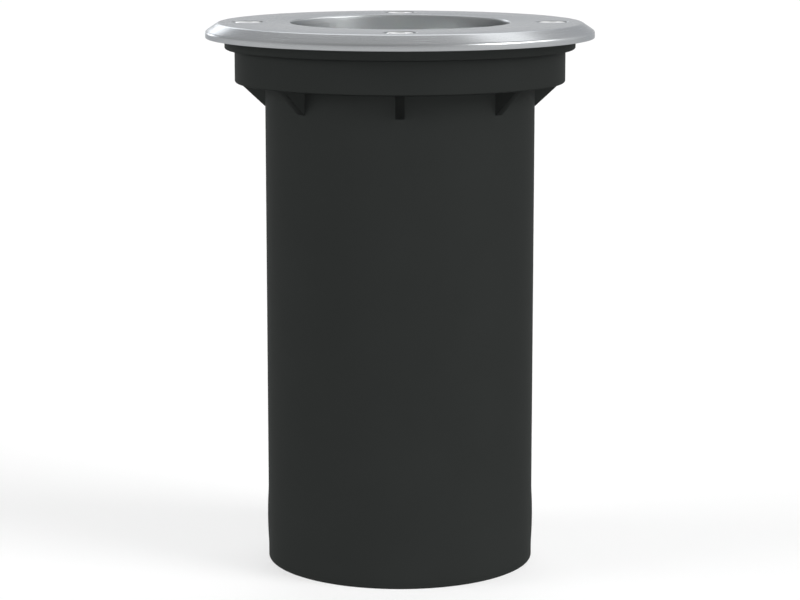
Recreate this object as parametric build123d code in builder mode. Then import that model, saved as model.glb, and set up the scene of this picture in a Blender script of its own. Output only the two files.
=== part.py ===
# Recessed ground light: a black mounting sleeve stays in the ground, a lamp housing drops into it,
# and a stainless steel cover ring with a thick glass closes the top. Millimetres, +Z up, the origin
# at the middle of the sleeve's base. The front is towards -Y.

import os
from math import atan2, cos, degrees, radians, sin, sqrt

from build123d import *

os.makedirs("parts", exist_ok=True)

# Lamp
lamp_diameter = 50.0
lamp_length = 49.0
lamp_neck_diameter = 23.0
lamp_neck_height = 14.2
lamp_rim_height = 7.8
lamp_wall = 1.5
lamp_base_thickness = 2.0
lamp_lens_thickness = 1.6
lamp_lens_ledge = 1.0
lamp_lens_setback = 0.5
lamp_lens_clearance = 0.1
led_board_thickness = 1.4
led_board_clearance = 0.2
led_size = 3.5
led_height = 0.8
led_count = 6
led_circle_radius = 13.0

# Lamp pins and holder
pin_spacing = 10.0
pin_diameter = 3.0
pin_head_diameter = 5.0
pin_head_height = 2.2
pin_length = 6.2
pin_grip = 1.6
pin_hole_clearance = 0.05
twist_angle = 40.0
slot_clearance = 0.3
holder_diameter = 29.0
holder_height = 14.0
holder_lip = 3.0
holder_lamp_gap = 0.3
contact_thickness = 0.8
contact_gap = 0.3
contact_tail_diameter = 2.4
contact_tail_length = 3.0
holder_screw_circle = 10.8
holder_screw_angle = 110.0

# Bracket and its pillars
bracket_thickness = 1.5
bracket_margin = 1.0
bracket_arm_width = 8.0
bracket_bore_diameter = 16.0
pillar_diameter = 7.0
pillar_height = 23.0
pillar_wall_gap = 1.25

# Small screws, size M3
small_screw_diameter = 3.0
small_screw_clearance = 0.1
small_head_diameter = 5.5
small_head_height = 2.0
small_socket_diameter = 2.0
small_socket_depth = 1.2
small_head_clearance = 0.2
holder_screw_tail = 3.0
bracket_screw_length = 8.0

# Housing
lamp_room = 8.75
housing_wall = 2.0
housing_floor = 3.0
housing_flange_thickness = 3.0
housing_flange_gap = 0.6
housing_slide_clearance = 0.5
lamp_headroom = 11.6
reflector_wall = 0.8
reflector_lamp_gap = 0.8
reflector_lamp_rise = 0.8
reflector_mouth_gap = 1.0
reflector_rim_width = 1.25
reflector_rim_depth = 1.0
reflector_rim_clearance = 0.2

# Terminal block and earth point
pole_spacing = 10.0
pole_hole_diameter = 6.0
barrel_diameter = 5.5
barrel_bore_diameter = 3.6
barrel_setback = 0.5
terminal_width = 12.0
terminal_height = 13.0
terminal_end_wall = 1.5
terminal_locknut_gap = 1.0
terminal_screw_inset = 3.2
terminal_screw_tip = 0.2
terminal_fixing_depth = 2.0
terminal_fixing_reach = 9.8
earth_boss_diameter = 8.0
earth_boss_height = 4.0
earth_wall_gap = 2.0
earth_angle = 39.0
earth_screw_diameter = 4.0
earth_screw_length = 5.0
earth_head_diameter = 7.0
earth_head_height = 2.4
earth_tag_diameter = 7.6
earth_tag_thickness = 0.8
crimp_diameter = 3.6
crimp_clearance = 0.1
crimp_start = 4.6
crimp_length = 3.6
crimp_neck_width = 3.0

# Leads
lead_diameter = 2.2
lead_insertion = 3.0
lead_run_height = 5.0
lead_bend_radius = 3.5
lead_wall_gap = 2.6
earth_lead_wall_gap = 0.75
earth_lead_angle = 57.0

# Cable gland, size M16
gland_thread_diameter = 16.0
gland_hole_clearance = 0.2
gland_bore_wall = 2.5
gland_hex_wall = 2.0
gland_hex_height = 5.0
gland_washer_thickness = 1.5
gland_washer_margin = 1.5
gland_locknut_height = 5.0
gland_thread_reach = 2.0
gland_stem_length = 9.5
gland_seal_wall = 2.1
gland_seal_length = 8.0
gland_seal_clearance = 0.1
gland_seal_stand = 1.0
gland_seal_gap = 0.3
gland_nut_clearance = 0.25
gland_nut_gap = 0.3
gland_nut_lip = 6.0
gland_nut_taper = 2.9
gland_nut_mouth_clearance = 1.0
gland_nut_end_inset = 2.5
cable_bore_diameter = 8.4
cable_room = 12.2

# Glass and its seal
glass_thickness = 5.0
glass_lap = 3.25
glass_edge_break = 0.5
glass_gasket_wall = 1.3
glass_gasket_lip = 0.8
glass_gasket_lap = 3.0
glass_clearance = 0.05

# Sleeve
tube_wall = 2.0
sleeve_floor = 2.5
shelf_thickness = 2.0
collar_wall = 1.8
collar_fillet = 0.6
flange_lip = 2.8
flange_thickness = 2.6
flange_fillet = 0.3
conduit_hole_diameter = 25.5
drain_count = 6
drain_diameter = 6.0
gusset_count = 8
gusset_thickness = 2.5
gusset_height = 7.0
gusset_inset = 1.0
entry_pad_diameter = 16.0
entry_pad_face_diameter = 8.0
entry_pad_rise = 0.34
entry_pad_height = 12.0

# Bosses, inserts and cover screws
boss_diameter = 8.5
boss_gasket_gap = 0.45
boss_recess_lap = 2.25
boss_drop = 0.4
boss_floor = 1.5
insert_diameter = 5.6
insert_length = 8.0
insert_clearance = 0.05
cover_screw_diameter = 4.0
cover_screw_length = 12.0
cover_screw_play = 0.1
cover_hole_clearance = 0.25
cover_head_diameter = 7.6
cover_head_height = 2.2
cover_head_crown = 1.0
cover_socket_width = 2.5
cover_socket_depth = 1.5
screw_recess_diameter = 9.0
screw_recess_depth = 2.4

# Cover ring and rim gasket
aperture_lap = 6.0
aperture_round = 0.4
cover_thickness = 5.0
cover_spigot_depth = 0.3
cover_spigot_clearance = 0.3
rim_height = 4.2
rim_overhang = 5.4
rim_groove_clearance = 0.6
bevel_width = 3.5
bevel_edge_round = 0.6
rim_band_height = 1.8
rim_round = 0.9
rim_lower_round = 0.4
rim_gasket_thickness = 1.0
rim_gasket_inset = 1.0
rim_gasket_clearance = 0.3

# Radii, from the lamp outwards
lamp_radius = lamp_diameter / 2
housing_inner_radius = lamp_radius + lamp_room
housing_radius = housing_inner_radius + housing_wall
tube_inner_radius = housing_radius + housing_slide_clearance
tube_radius = tube_inner_radius + tube_wall
glass_radius = housing_inner_radius + glass_lap
aperture_radius = glass_radius - aperture_lap
glass_gasket_radius = glass_radius + glass_gasket_wall
boss_radius = boss_diameter / 2
screw_circle_radius = glass_gasket_radius + boss_gasket_gap + boss_radius
recess_radius = screw_circle_radius + boss_radius - boss_recess_lap
collar_radius = recess_radius + collar_wall
flange_radius = collar_radius + flange_lip
ring_radius = flange_radius + rim_overhang
pillar_circle_radius = housing_inner_radius - pillar_wall_gap - pillar_diameter / 2

# Heights, from the base upwards
gland_nut_bottom = sleeve_floor + cable_room
gland_stem_bottom = gland_nut_bottom + gland_nut_lip + gland_seal_gap + gland_seal_stand
gland_hex_bottom = gland_stem_bottom + gland_stem_length
gland_hex_top = gland_hex_bottom + gland_hex_height
housing_bottom = gland_hex_top + gland_washer_thickness
housing_floor_top = housing_bottom + housing_floor
locknut_top = housing_floor_top + gland_locknut_height
bracket_bottom = housing_floor_top + pillar_height
bracket_top = bracket_bottom + bracket_thickness
holder_top = bracket_top + holder_height
lamp_bottom = holder_top + holder_lamp_gap
lamp_top = lamp_bottom + lamp_length
shelf_top = lamp_top + lamp_headroom
shelf_bottom = shelf_top - shelf_thickness
housing_top = shelf_top + housing_flange_thickness
glass_bottom = housing_top + glass_gasket_lip
glass_top = glass_bottom + glass_thickness
cover_bottom = glass_top + glass_gasket_lip
cover_top = cover_bottom + cover_thickness
sleeve_top = cover_bottom + cover_spigot_depth
flange_bottom = sleeve_top - flange_thickness
boss_top = sleeve_top - boss_drop
rim_gasket_top = sleeve_top + rim_gasket_thickness
rim_bottom = cover_top - rim_height
screw_seat = cover_top - screw_recess_depth
print("overall diameter and height", 2 * ring_radius, cover_top)

# Cover screws sit at the right, back, left and front
screw_sides = {"right": 0, "back": 90, "left": 180, "front": 270}


def upright_plane(angle, foot=(0, 0)):
    """Upright plane through the foot: local x runs outwards at the angle, local y runs up."""
    turn = radians(angle)
    return Plane(origin=(*foot, 0), x_dir=(cos(turn), sin(turn), 0), z_dir=(sin(turn), -cos(turn), 0))


def polar_point(radius, angle):
    return radius * cos(radians(angle)), radius * sin(radians(angle))


# Mounting sleeve
with BuildPart() as mounting_sleeve:
    with BuildSketch(Plane.XZ) as sleeve_profile:
        with BuildLine():
            Polyline(
                (0, 0),
                (tube_radius, 0),
                (tube_radius, shelf_bottom),
                (collar_radius, shelf_bottom),
                (collar_radius, flange_bottom),
                (flange_radius, flange_bottom),
                (flange_radius, sleeve_top),
                (recess_radius, sleeve_top),
                (recess_radius, shelf_top),
                (tube_inner_radius, shelf_top),
                (tube_inner_radius, sleeve_floor),
                (0, sleeve_floor),
                close=True,
            )
        make_face()
        collar_corner = sleeve_profile.vertices().sort_by_distance((collar_radius, shelf_bottom))[0]
        fillet(collar_corner, collar_fillet)
        flange_corners = [
            sleeve_profile.vertices().sort_by_distance((flange_radius, flange_bottom))[0],
            sleeve_profile.vertices().sort_by_distance((flange_radius, sleeve_top))[0],
        ]
        fillet(flange_corners, flange_fillet)
    revolve(axis=Axis.Z)
    # Screw bosses stand in the recess and run into the collar's wall
    with BuildSketch(Plane.XY.offset(shelf_bottom)):
        Circle(recess_radius + collar_wall / 2)
        with PolarLocations(screw_circle_radius, len(screw_sides)):
            Circle(boss_radius, mode=Mode.INTERSECT)
    extrude(amount=boss_top - shelf_bottom)
    # Gussets brace the collar's underside
    for number in range(gusset_count):
        with BuildSketch(upright_plane(number * 360 / gusset_count)) as gusset_profile:
            with BuildLine():
                Polyline(
                    (tube_radius - tube_wall / 2, shelf_bottom + shelf_thickness / 2),
                    (collar_radius - gusset_inset, shelf_bottom + shelf_thickness / 2),
                    (collar_radius - gusset_inset, shelf_bottom),
                    (tube_radius, shelf_bottom - gusset_height),
                    (tube_radius - tube_wall / 2, shelf_bottom - gusset_height),
                    close=True,
                )
            make_face()
        extrude(amount=gusset_thickness / 2, both=True)
    # Blanked cable entries stand slightly proud on two sides
    for direction in (1, -1):
        with BuildSketch(Plane.YZ.offset(direction * (tube_radius - tube_wall / 2))):
            with Locations((0, entry_pad_height)):
                Circle(entry_pad_diameter / 2)
        extrude(amount=direction * tube_wall / 2)
        with BuildSketch(Plane.YZ.offset(direction * tube_radius)):
            with Locations((0, entry_pad_height)):
                Circle(entry_pad_diameter / 2)
        with BuildSketch(Plane.YZ.offset(direction * (tube_radius + entry_pad_rise))):
            with Locations((0, entry_pad_height)):
                Circle(entry_pad_face_diameter / 2)
        loft()
    # Conduit hole and drain holes in the floor
    with BuildSketch():
        Circle(conduit_hole_diameter / 2)
        with PolarLocations((conduit_hole_diameter / 2 + tube_inner_radius) / 2, drain_count):
            Circle(drain_diameter / 2)
    extrude(amount=sleeve_floor, mode=Mode.SUBTRACT)
    # Holes for the inserts, with room below for the screws' tips
    with BuildSketch(Plane.XY.offset(boss_top)):
        with PolarLocations(screw_circle_radius, len(screw_sides)):
            Circle(insert_diameter / 2 + insert_clearance)
    extrude(amount=-insert_length, mode=Mode.SUBTRACT)
    with BuildSketch(Plane.XY.offset(boss_top)):
        with PolarLocations(screw_circle_radius, len(screw_sides)):
            Circle(cover_screw_diameter / 2 + cover_hole_clearance)
    extrude(amount=shelf_bottom + boss_floor - boss_top, mode=Mode.SUBTRACT)
mounting_sleeve.part.label = "mounting_sleeve"
export_step(mounting_sleeve.part, "parts/mounting_sleeve.step")

# Brass inserts
with BuildPart() as screw_inserts:
    with BuildSketch(Plane.XY.offset(boss_top - insert_length)):
        with PolarLocations(screw_circle_radius, len(screw_sides)):
            Circle(insert_diameter / 2)
            Circle(cover_screw_diameter / 2 + cover_screw_play, mode=Mode.SUBTRACT)
    extrude(amount=insert_length)
screw_inserts.part.label = "screw_inserts"
export_step(screw_inserts.part, "parts/screw_inserts.step")

# Rim gasket on the flange
with BuildPart() as rim_gasket:
    with BuildSketch(Plane.XY.offset(sleeve_top)):
        Circle(flange_radius - rim_gasket_inset)
        Circle(recess_radius + rim_gasket_clearance, mode=Mode.SUBTRACT)
    extrude(amount=rim_gasket_thickness)
rim_gasket.part.label = "rim_gasket"
export_step(rim_gasket.part, "parts/rim_gasket.step")

# Cover ring
with BuildPart() as cover_ring:
    spigot_radius = recess_radius - cover_spigot_clearance
    groove_radius = flange_radius + rim_groove_clearance
    band_top = rim_bottom + rim_band_height
    with BuildSketch(Plane.XZ) as ring_profile:
        with BuildLine():
            Polyline(
                (aperture_radius, cover_bottom),
                (aperture_radius, cover_top),
                (ring_radius - bevel_width, cover_top),
                (ring_radius, band_top),
                (ring_radius, rim_bottom),
                (groove_radius, rim_bottom),
                (groove_radius, rim_gasket_top),
                (spigot_radius, rim_gasket_top),
                (spigot_radius, cover_bottom),
                close=True,
            )
        make_face()
        ring_rounds = [
            ((aperture_radius, cover_top), aperture_round),
            ((ring_radius - bevel_width, cover_top), bevel_edge_round),
            ((ring_radius, band_top), rim_round),
            ((ring_radius, rim_bottom), rim_lower_round),
        ]
        for corner, round_radius in ring_rounds:
            fillet(ring_profile.vertices().sort_by_distance(corner)[0], round_radius)
    revolve(axis=Axis.Z)
    with BuildSketch(Plane.XY.offset(cover_top)):
        with PolarLocations(screw_circle_radius, len(screw_sides)):
            Circle(screw_recess_diameter / 2)
    extrude(amount=-screw_recess_depth, mode=Mode.SUBTRACT)
    with BuildSketch(Plane.XY.offset(cover_bottom)):
        with PolarLocations(screw_circle_radius, len(screw_sides)):
            Circle(cover_screw_diameter / 2 + cover_hole_clearance)
    extrude(amount=cover_thickness, mode=Mode.SUBTRACT)
cover_ring.part.label = "cover_ring"
export_step(cover_ring.part, "parts/cover_ring.step")

# Cover screws: crowned heads with a hexagon socket
for side, angle in screw_sides.items():
    screw_x, screw_y = polar_point(screw_circle_radius, angle)
    with BuildPart() as cover_screw:
        with BuildSketch(upright_plane(angle, (screw_x, screw_y))):
            with BuildLine():
                head_side = screw_seat + cover_head_height - cover_head_crown
                head_flat = cover_head_diameter / 2 - cover_head_crown
                foot = Polyline(
                    (0, screw_seat + cover_head_height),
                    (0, screw_seat - cover_screw_length),
                    (cover_screw_diameter / 2, screw_seat - cover_screw_length),
                    (cover_screw_diameter / 2, screw_seat),
                    (cover_head_diameter / 2, screw_seat),
                    (cover_head_diameter / 2, head_side),
                )
                RadiusArc(foot @ 1, (head_flat, screw_seat + cover_head_height), -cover_head_crown)
                Line((head_flat, screw_seat + cover_head_height), foot @ 0)
            make_face()
        revolve(axis=Axis((screw_x, screw_y, 0), (0, 0, 1)))
        with BuildSketch(Plane((screw_x, screw_y, screw_seat + cover_head_height))):
            RegularPolygon(cover_socket_width / 2, 6, major_radius=False)
        extrude(amount=-cover_socket_depth, mode=Mode.SUBTRACT)
    cover_screw.part.label = f"cover_screw_{side}"
    export_step(cover_screw.part, f"parts/cover_screw_{side}.step")

# Glass, with its two edges broken
with BuildPart() as glass_lens:
    with BuildSketch(Plane.XY.offset(glass_bottom)):
        Circle(glass_radius)
    extrude(amount=glass_thickness)
    chamfer(glass_lens.edges().filter_by(GeomType.CIRCLE), glass_edge_break)
glass_lens.part.label = "glass_lens"
export_step(glass_lens.part, "parts/glass_lens.step")

# Seal with a U section round the glass
with BuildPart() as glass_gasket:
    lip_radius = glass_radius - glass_gasket_lap
    with BuildSketch(Plane.XY.offset(housing_top)):
        Circle(glass_gasket_radius)
        Circle(lip_radius, mode=Mode.SUBTRACT)
    extrude(amount=cover_bottom - housing_top)
    with BuildSketch(Plane.XY.offset(glass_bottom)):
        Circle(glass_radius + glass_clearance)
    extrude(amount=glass_thickness, mode=Mode.SUBTRACT)
glass_gasket.part.label = "glass_gasket"
export_step(glass_gasket.part, "parts/glass_gasket.step")

# Gland sizes round the cable and the thread
gland_radius = gland_thread_diameter / 2
gland_hex_radius = gland_radius + gland_hex_wall
gland_seal_radius = cable_bore_diameter / 2 + gland_seal_wall

# Places on the housing's floor
terminal_front = gland_hex_radius + terminal_locknut_gap
terminal_middle = terminal_front + terminal_width / 2
terminal_back = terminal_front + terminal_width
terminal_length = 2 * pole_spacing + pole_hole_diameter + 2 * terminal_end_wall
terminal_top = housing_floor_top + terminal_height
pole_height = housing_floor_top + terminal_height / 2
terminal_fixing_x = -pole_spacing / 2
fixing_seat = housing_floor_top + terminal_fixing_reach
earth_circle_radius = housing_inner_radius - earth_wall_gap - earth_boss_diameter / 2
earth_x, earth_y = polar_point(earth_circle_radius, earth_angle)
earth_seat = housing_floor_top + earth_boss_height

# Lamp housing
with BuildPart() as lamp_housing:
    flange_edge = recess_radius - housing_flange_gap
    reflector_seat_radius = housing_inner_radius + reflector_rim_width
    with BuildSketch(Plane.XZ):
        with BuildLine():
            Polyline(
                (0, housing_bottom),
                (housing_radius, housing_bottom),
                (housing_radius, shelf_top),
                (flange_edge, shelf_top),
                (flange_edge, housing_top),
                (reflector_seat_radius, housing_top),
                (reflector_seat_radius, housing_top - reflector_rim_depth),
                (housing_inner_radius, housing_top - reflector_rim_depth),
                (housing_inner_radius, housing_floor_top),
                (0, housing_floor_top),
                close=True,
            )
        make_face()
    revolve(axis=Axis.Z)
    # Scallops in the flange clear the sleeve's bosses
    with BuildSketch(Plane.XY.offset(shelf_top)):
        with PolarLocations(screw_circle_radius, len(screw_sides)):
            Circle(boss_radius + housing_flange_gap)
    extrude(amount=housing_flange_thickness, mode=Mode.SUBTRACT)
    # Pillars for the bracket and the boss for the earth screw
    with BuildSketch(Plane.XY.offset(housing_floor_top)):
        with PolarLocations(pillar_circle_radius, 2):
            Circle(pillar_diameter / 2)
    extrude(amount=pillar_height)
    with BuildSketch(Plane.XY.offset(housing_floor_top)):
        with Locations((earth_x, earth_y)):
            Circle(earth_boss_diameter / 2)
    extrude(amount=earth_boss_height)
    with BuildSketch(Plane.XY.offset(bracket_bottom)):
        with PolarLocations(pillar_circle_radius, 2):
            Circle(small_screw_diameter / 2 + small_screw_clearance)
    extrude(amount=-bracket_screw_length, mode=Mode.SUBTRACT)
    with BuildSketch(Plane.XY.offset(earth_seat)):
        with Locations((earth_x, earth_y)):
            Circle(earth_screw_diameter / 2 + small_screw_clearance)
    extrude(amount=-earth_screw_length, mode=Mode.SUBTRACT)
    # Holes in the floor for the gland and the terminal block's screw
    with BuildSketch(Plane.XY.offset(housing_bottom)):
        Circle(gland_thread_diameter / 2 + gland_hole_clearance)
    extrude(amount=housing_floor, mode=Mode.SUBTRACT)
    with BuildSketch(Plane.XY.offset(housing_floor_top)):
        with Locations((terminal_fixing_x, terminal_middle)):
            Circle(small_screw_diameter / 2 + small_screw_clearance)
    extrude(amount=-terminal_fixing_depth - small_screw_clearance, mode=Mode.SUBTRACT)
lamp_housing.part.label = "lamp_housing"
export_step(lamp_housing.part, "parts/lamp_housing.step")

# Reflector cone, whose rim lies in the housing's counterbore
with BuildPart() as reflector:
    reflector_seat = housing_top - reflector_rim_depth
    throat_radius = lamp_radius + reflector_lamp_gap
    throat_height = lamp_top + reflector_lamp_rise
    mouth_radius = housing_inner_radius - reflector_mouth_gap - reflector_wall
    with BuildSketch(Plane.XZ):
        with BuildLine():
            Polyline(
                (throat_radius, throat_height),
                (throat_radius + reflector_wall, throat_height),
                (mouth_radius + reflector_wall, reflector_seat),
                (reflector_seat_radius - reflector_rim_clearance, reflector_seat),
                (reflector_seat_radius - reflector_rim_clearance, reflector_seat + reflector_wall),
                (mouth_radius, reflector_seat + reflector_wall),
                close=True,
            )
        make_face()
    revolve(axis=Axis.Z)
reflector.part.label = "reflector"
export_step(reflector.part, "parts/reflector.step")

# Bracket across the pillars
holder_screw_angles = (holder_screw_angle, holder_screw_angle + 180)
holder_screw_points = [polar_point(holder_screw_circle, angle) for angle in holder_screw_angles]
with BuildPart() as holder_bracket:
    with BuildSketch(Plane.XY.offset(bracket_bottom)):
        SlotCenterToCenter(2 * pillar_circle_radius, bracket_arm_width)
        Circle(holder_diameter / 2 + bracket_margin)
        Circle(bracket_bore_diameter / 2, mode=Mode.SUBTRACT)
        with PolarLocations(pillar_circle_radius, 2):
            Circle(small_screw_diameter / 2 + small_screw_clearance, mode=Mode.SUBTRACT)
        with Locations(*holder_screw_points):
            Circle(small_screw_diameter / 2 + small_screw_clearance, mode=Mode.SUBTRACT)
    extrude(amount=bracket_thickness)
holder_bracket.part.label = "holder_bracket"
export_step(holder_bracket.part, "parts/holder_bracket.step")


def build_small_screws(points, seat, length):
    """Pan-head M3 screws standing on the seat height, their shanks pointing down."""
    with BuildPart() as screws:
        with BuildSketch(Plane.XY.offset(seat)):
            with Locations(*points):
                Circle(small_head_diameter / 2)
        extrude(amount=small_head_height)
        with BuildSketch(Plane.XY.offset(seat)):
            with Locations(*points):
                Circle(small_screw_diameter / 2)
        extrude(amount=-length)
        with BuildSketch(Plane.XY.offset(seat + small_head_height)):
            with Locations(*points):
                RegularPolygon(small_socket_diameter / 2, 6)
        extrude(amount=-small_socket_depth, mode=Mode.SUBTRACT)
    return screws


pillar_points = [(pillar_circle_radius, 0), (-pillar_circle_radius, 0)]
bracket_screws = build_small_screws(pillar_points, bracket_top, bracket_screw_length)
bracket_screws.part.label = "bracket_screws"
export_step(bracket_screws.part, "parts/bracket_screws.step")

# Lamp holder: two keyhole slots over two wider chambers
pin_circle_radius = pin_spacing / 2
slot_width = pin_diameter + 2 * slot_clearance
chamber_width = pin_head_diameter + 2 * slot_clearance
lip_bottom = holder_top - holder_lip
pin_bottom = lamp_bottom - pin_length
contact_top = pin_bottom - contact_gap
chamber_bottom = contact_top - contact_thickness
holder_head_seat = holder_top - small_head_height - small_head_clearance
tail_angle = twist_angle / 2
tail_points = [polar_point(pin_circle_radius, tail_angle + turn) for turn in (0, 180)]
tail_bottom = chamber_bottom - contact_tail_length


def pin_path(turn):
    """Centre line that a pin follows in the holder, from locked to free."""
    return CenterArc((0, 0), pin_circle_radius, turn, twist_angle, mode=Mode.PRIVATE)


with BuildPart() as lamp_holder:
    with BuildSketch(Plane.XY.offset(bracket_top)):
        Circle(holder_diameter / 2)
    extrude(amount=holder_height)
    with BuildSketch(Plane.XY.offset(holder_top)):
        for turn in (0, 180):
            SlotArc(pin_path(turn), slot_width)
            with Locations(polar_point(pin_circle_radius, twist_angle + turn)):
                Circle(chamber_width / 2)
    extrude(amount=-holder_lip, mode=Mode.SUBTRACT)
    with BuildSketch(Plane.XY.offset(lip_bottom)):
        for turn in (0, 180):
            SlotArc(pin_path(turn), chamber_width)
    extrude(amount=chamber_bottom - lip_bottom, mode=Mode.SUBTRACT)
    # Holes for the leads and the contacts' tails
    with BuildSketch(Plane.XY.offset(bracket_top)):
        with Locations(*tail_points):
            Circle(contact_tail_diameter / 2 + slot_clearance)
    extrude(amount=chamber_bottom - bracket_top, mode=Mode.SUBTRACT)
    # Holes for the two holder screws
    with BuildSketch(Plane.XY.offset(holder_top)):
        with Locations(*holder_screw_points):
            Circle(small_head_diameter / 2 + small_head_clearance)
    extrude(amount=holder_head_seat - holder_top, mode=Mode.SUBTRACT)
    with BuildSketch(Plane.XY.offset(bracket_top)):
        with Locations(*holder_screw_points):
            Circle(small_screw_diameter / 2 + small_screw_clearance)
    extrude(amount=holder_height, mode=Mode.SUBTRACT)
lamp_holder.part.label = "lamp_holder"
export_step(lamp_holder.part, "parts/lamp_holder.step")

holder_screw_length = holder_head_seat - bracket_bottom + holder_screw_tail
holder_screws = build_small_screws(holder_screw_points, holder_head_seat, holder_screw_length)
holder_screws.part.label = "holder_screws"
export_step(holder_screws.part, "parts/holder_screws.step")

# Contacts under the lamp's pins
with BuildPart() as holder_contacts:
    with BuildSketch(Plane.XY.offset(chamber_bottom)):
        for turn in (0, 180):
            SlotArc(pin_path(turn), chamber_width - 2 * slot_clearance)
    extrude(amount=contact_thickness)
    with BuildSketch(Plane.XY.offset(chamber_bottom)):
        with Locations(*tail_points):
            Circle(contact_tail_diameter / 2)
    extrude(amount=-contact_tail_length)
holder_contacts.part.label = "holder_contacts"
export_step(holder_contacts.part, "parts/holder_contacts.step")

# Lamp shell: neck, flare and rim, with a ledge for the lens
pin_points = [(pin_circle_radius, 0), (-pin_circle_radius, 0)]
neck_radius = lamp_neck_diameter / 2
flare_bottom = lamp_bottom + lamp_neck_height
flare_top = lamp_top - lamp_rim_height
lens_radius = lamp_radius - lamp_wall
lens_bottom = lamp_top - lamp_lens_setback - lamp_lens_thickness
board_radius = lens_radius - lamp_lens_ledge
with BuildPart() as lamp_shell:
    with BuildSketch(Plane.XZ):
        with BuildLine():
            Polyline(
                (0, lamp_bottom),
                (neck_radius, lamp_bottom),
                (neck_radius, flare_bottom),
                (lamp_radius, flare_top),
                (lamp_radius, lamp_top),
                (lens_radius, lamp_top),
                (lens_radius, lens_bottom),
                (board_radius, lens_bottom),
                (board_radius, flare_top),
                (neck_radius - lamp_wall, flare_bottom),
                (neck_radius - lamp_wall, lamp_bottom + lamp_base_thickness),
                (0, lamp_bottom + lamp_base_thickness),
                close=True,
            )
        make_face()
    revolve(axis=Axis.Z)
    with BuildSketch(Plane.XY.offset(lamp_bottom)):
        with Locations(*pin_points):
            Circle(pin_diameter / 2 + pin_hole_clearance)
    extrude(amount=lamp_base_thickness, mode=Mode.SUBTRACT)
lamp_shell.part.label = "lamp_shell"
export_step(lamp_shell.part, "parts/lamp_shell.step")

with BuildPart() as lamp_lens:
    with BuildSketch(Plane.XY.offset(lens_bottom)):
        Circle(lens_radius - lamp_lens_clearance)
    extrude(amount=lamp_lens_thickness)
lamp_lens.part.label = "lamp_lens"
export_step(lamp_lens.part, "parts/lamp_lens.step")

# Light-emitting board just above the flare, with a ring of chips
with BuildPart() as led_board:
    board_bottom = flare_top + led_board_clearance
    with BuildSketch(Plane.XY.offset(board_bottom)):
        Circle(board_radius - led_board_clearance)
    extrude(amount=led_board_thickness)
    with BuildSketch(Plane.XY.offset(board_bottom + led_board_thickness)):
        with PolarLocations(led_circle_radius, led_count):
            Rectangle(led_size, led_size)
    extrude(amount=led_height)
led_board.part.label = "led_board"
export_step(led_board.part, "parts/led_board.step")

with BuildPart() as lamp_pins:
    with BuildSketch(Plane.XY.offset(pin_bottom)):
        with Locations(*pin_points):
            Circle(pin_head_diameter / 2)
    extrude(amount=pin_head_height)
    with BuildSketch(Plane.XY.offset(pin_bottom)):
        with Locations(*pin_points):
            Circle(pin_diameter / 2)
    extrude(amount=pin_length + pin_grip)
lamp_pins.part.label = "lamp_pins"
export_step(lamp_pins.part, "parts/lamp_pins.step")

# Three-way terminal block: poles run front to back, screws come in from above
poles_x = (-pole_spacing, 0, pole_spacing)
barrel_length = terminal_width - 2 * barrel_setback
terminal_screw_rows = (terminal_front + terminal_screw_inset, terminal_back - terminal_screw_inset)
terminal_screw_points = [(x, y) for x in poles_x for y in terminal_screw_rows]
terminal_screw_bottom = pole_height + barrel_bore_diameter / 2 - terminal_screw_tip
terminal_screw_top = pole_height + barrel_diameter / 2 + small_head_height
with BuildPart() as terminal_block:
    with BuildSketch(Plane.XY.offset(housing_floor_top)):
        with Locations((0, terminal_middle)):
            Rectangle(terminal_length, terminal_width)
    extrude(amount=terminal_height)
    with BuildSketch(Plane.XZ.offset(-terminal_front)):
        for x in poles_x:
            with Locations((x, pole_height)):
                Circle(pole_hole_diameter / 2)
    extrude(amount=-terminal_width, mode=Mode.SUBTRACT)
    with BuildSketch(Plane.XY.offset(terminal_top)):
        with Locations(*terminal_screw_points):
            Circle(small_screw_diameter / 2 + small_head_clearance)
    extrude(amount=pole_height - terminal_top, mode=Mode.SUBTRACT)
    with BuildSketch(Plane.XY.offset(terminal_top)):
        with Locations((terminal_fixing_x, terminal_middle)):
            Circle(small_screw_diameter / 2 + small_screw_clearance)
    extrude(amount=-terminal_height, mode=Mode.SUBTRACT)
    with BuildSketch(Plane.XY.offset(terminal_top)):
        with Locations((terminal_fixing_x, terminal_middle)):
            Circle(small_head_diameter / 2 + small_head_clearance)
    extrude(amount=fixing_seat - terminal_top, mode=Mode.SUBTRACT)
terminal_block.part.label = "terminal_block"
export_step(terminal_block.part, "parts/terminal_block.step")

with BuildPart() as terminal_barrels:
    with BuildSketch(Plane.XZ.offset(-terminal_front - barrel_setback)):
        for x in poles_x:
            with Locations((x, pole_height)):
                Circle(barrel_diameter / 2)
                Circle(barrel_bore_diameter / 2, mode=Mode.SUBTRACT)
    extrude(amount=-barrel_length)
    with BuildSketch(Plane.XY.offset(pole_height)):
        with Locations(*terminal_screw_points):
            Circle(small_screw_diameter / 2 + small_screw_clearance)
    extrude(amount=barrel_diameter / 2, mode=Mode.SUBTRACT)
terminal_barrels.part.label = "terminal_barrels"
export_step(terminal_barrels.part, "parts/terminal_barrels.step")

with BuildPart() as terminal_screws:
    with BuildSketch(Plane.XY.offset(terminal_screw_bottom)):
        with Locations(*terminal_screw_points):
            Circle(small_screw_diameter / 2)
    extrude(amount=terminal_screw_top - terminal_screw_bottom)
    with BuildSketch(Plane.XY.offset(terminal_screw_top)):
        with Locations(*terminal_screw_points):
            RegularPolygon(small_socket_diameter / 2, 6)
    extrude(amount=-small_socket_depth, mode=Mode.SUBTRACT)
terminal_screws.part.label = "terminal_screws"
export_step(terminal_screws.part, "parts/terminal_screws.step")

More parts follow.
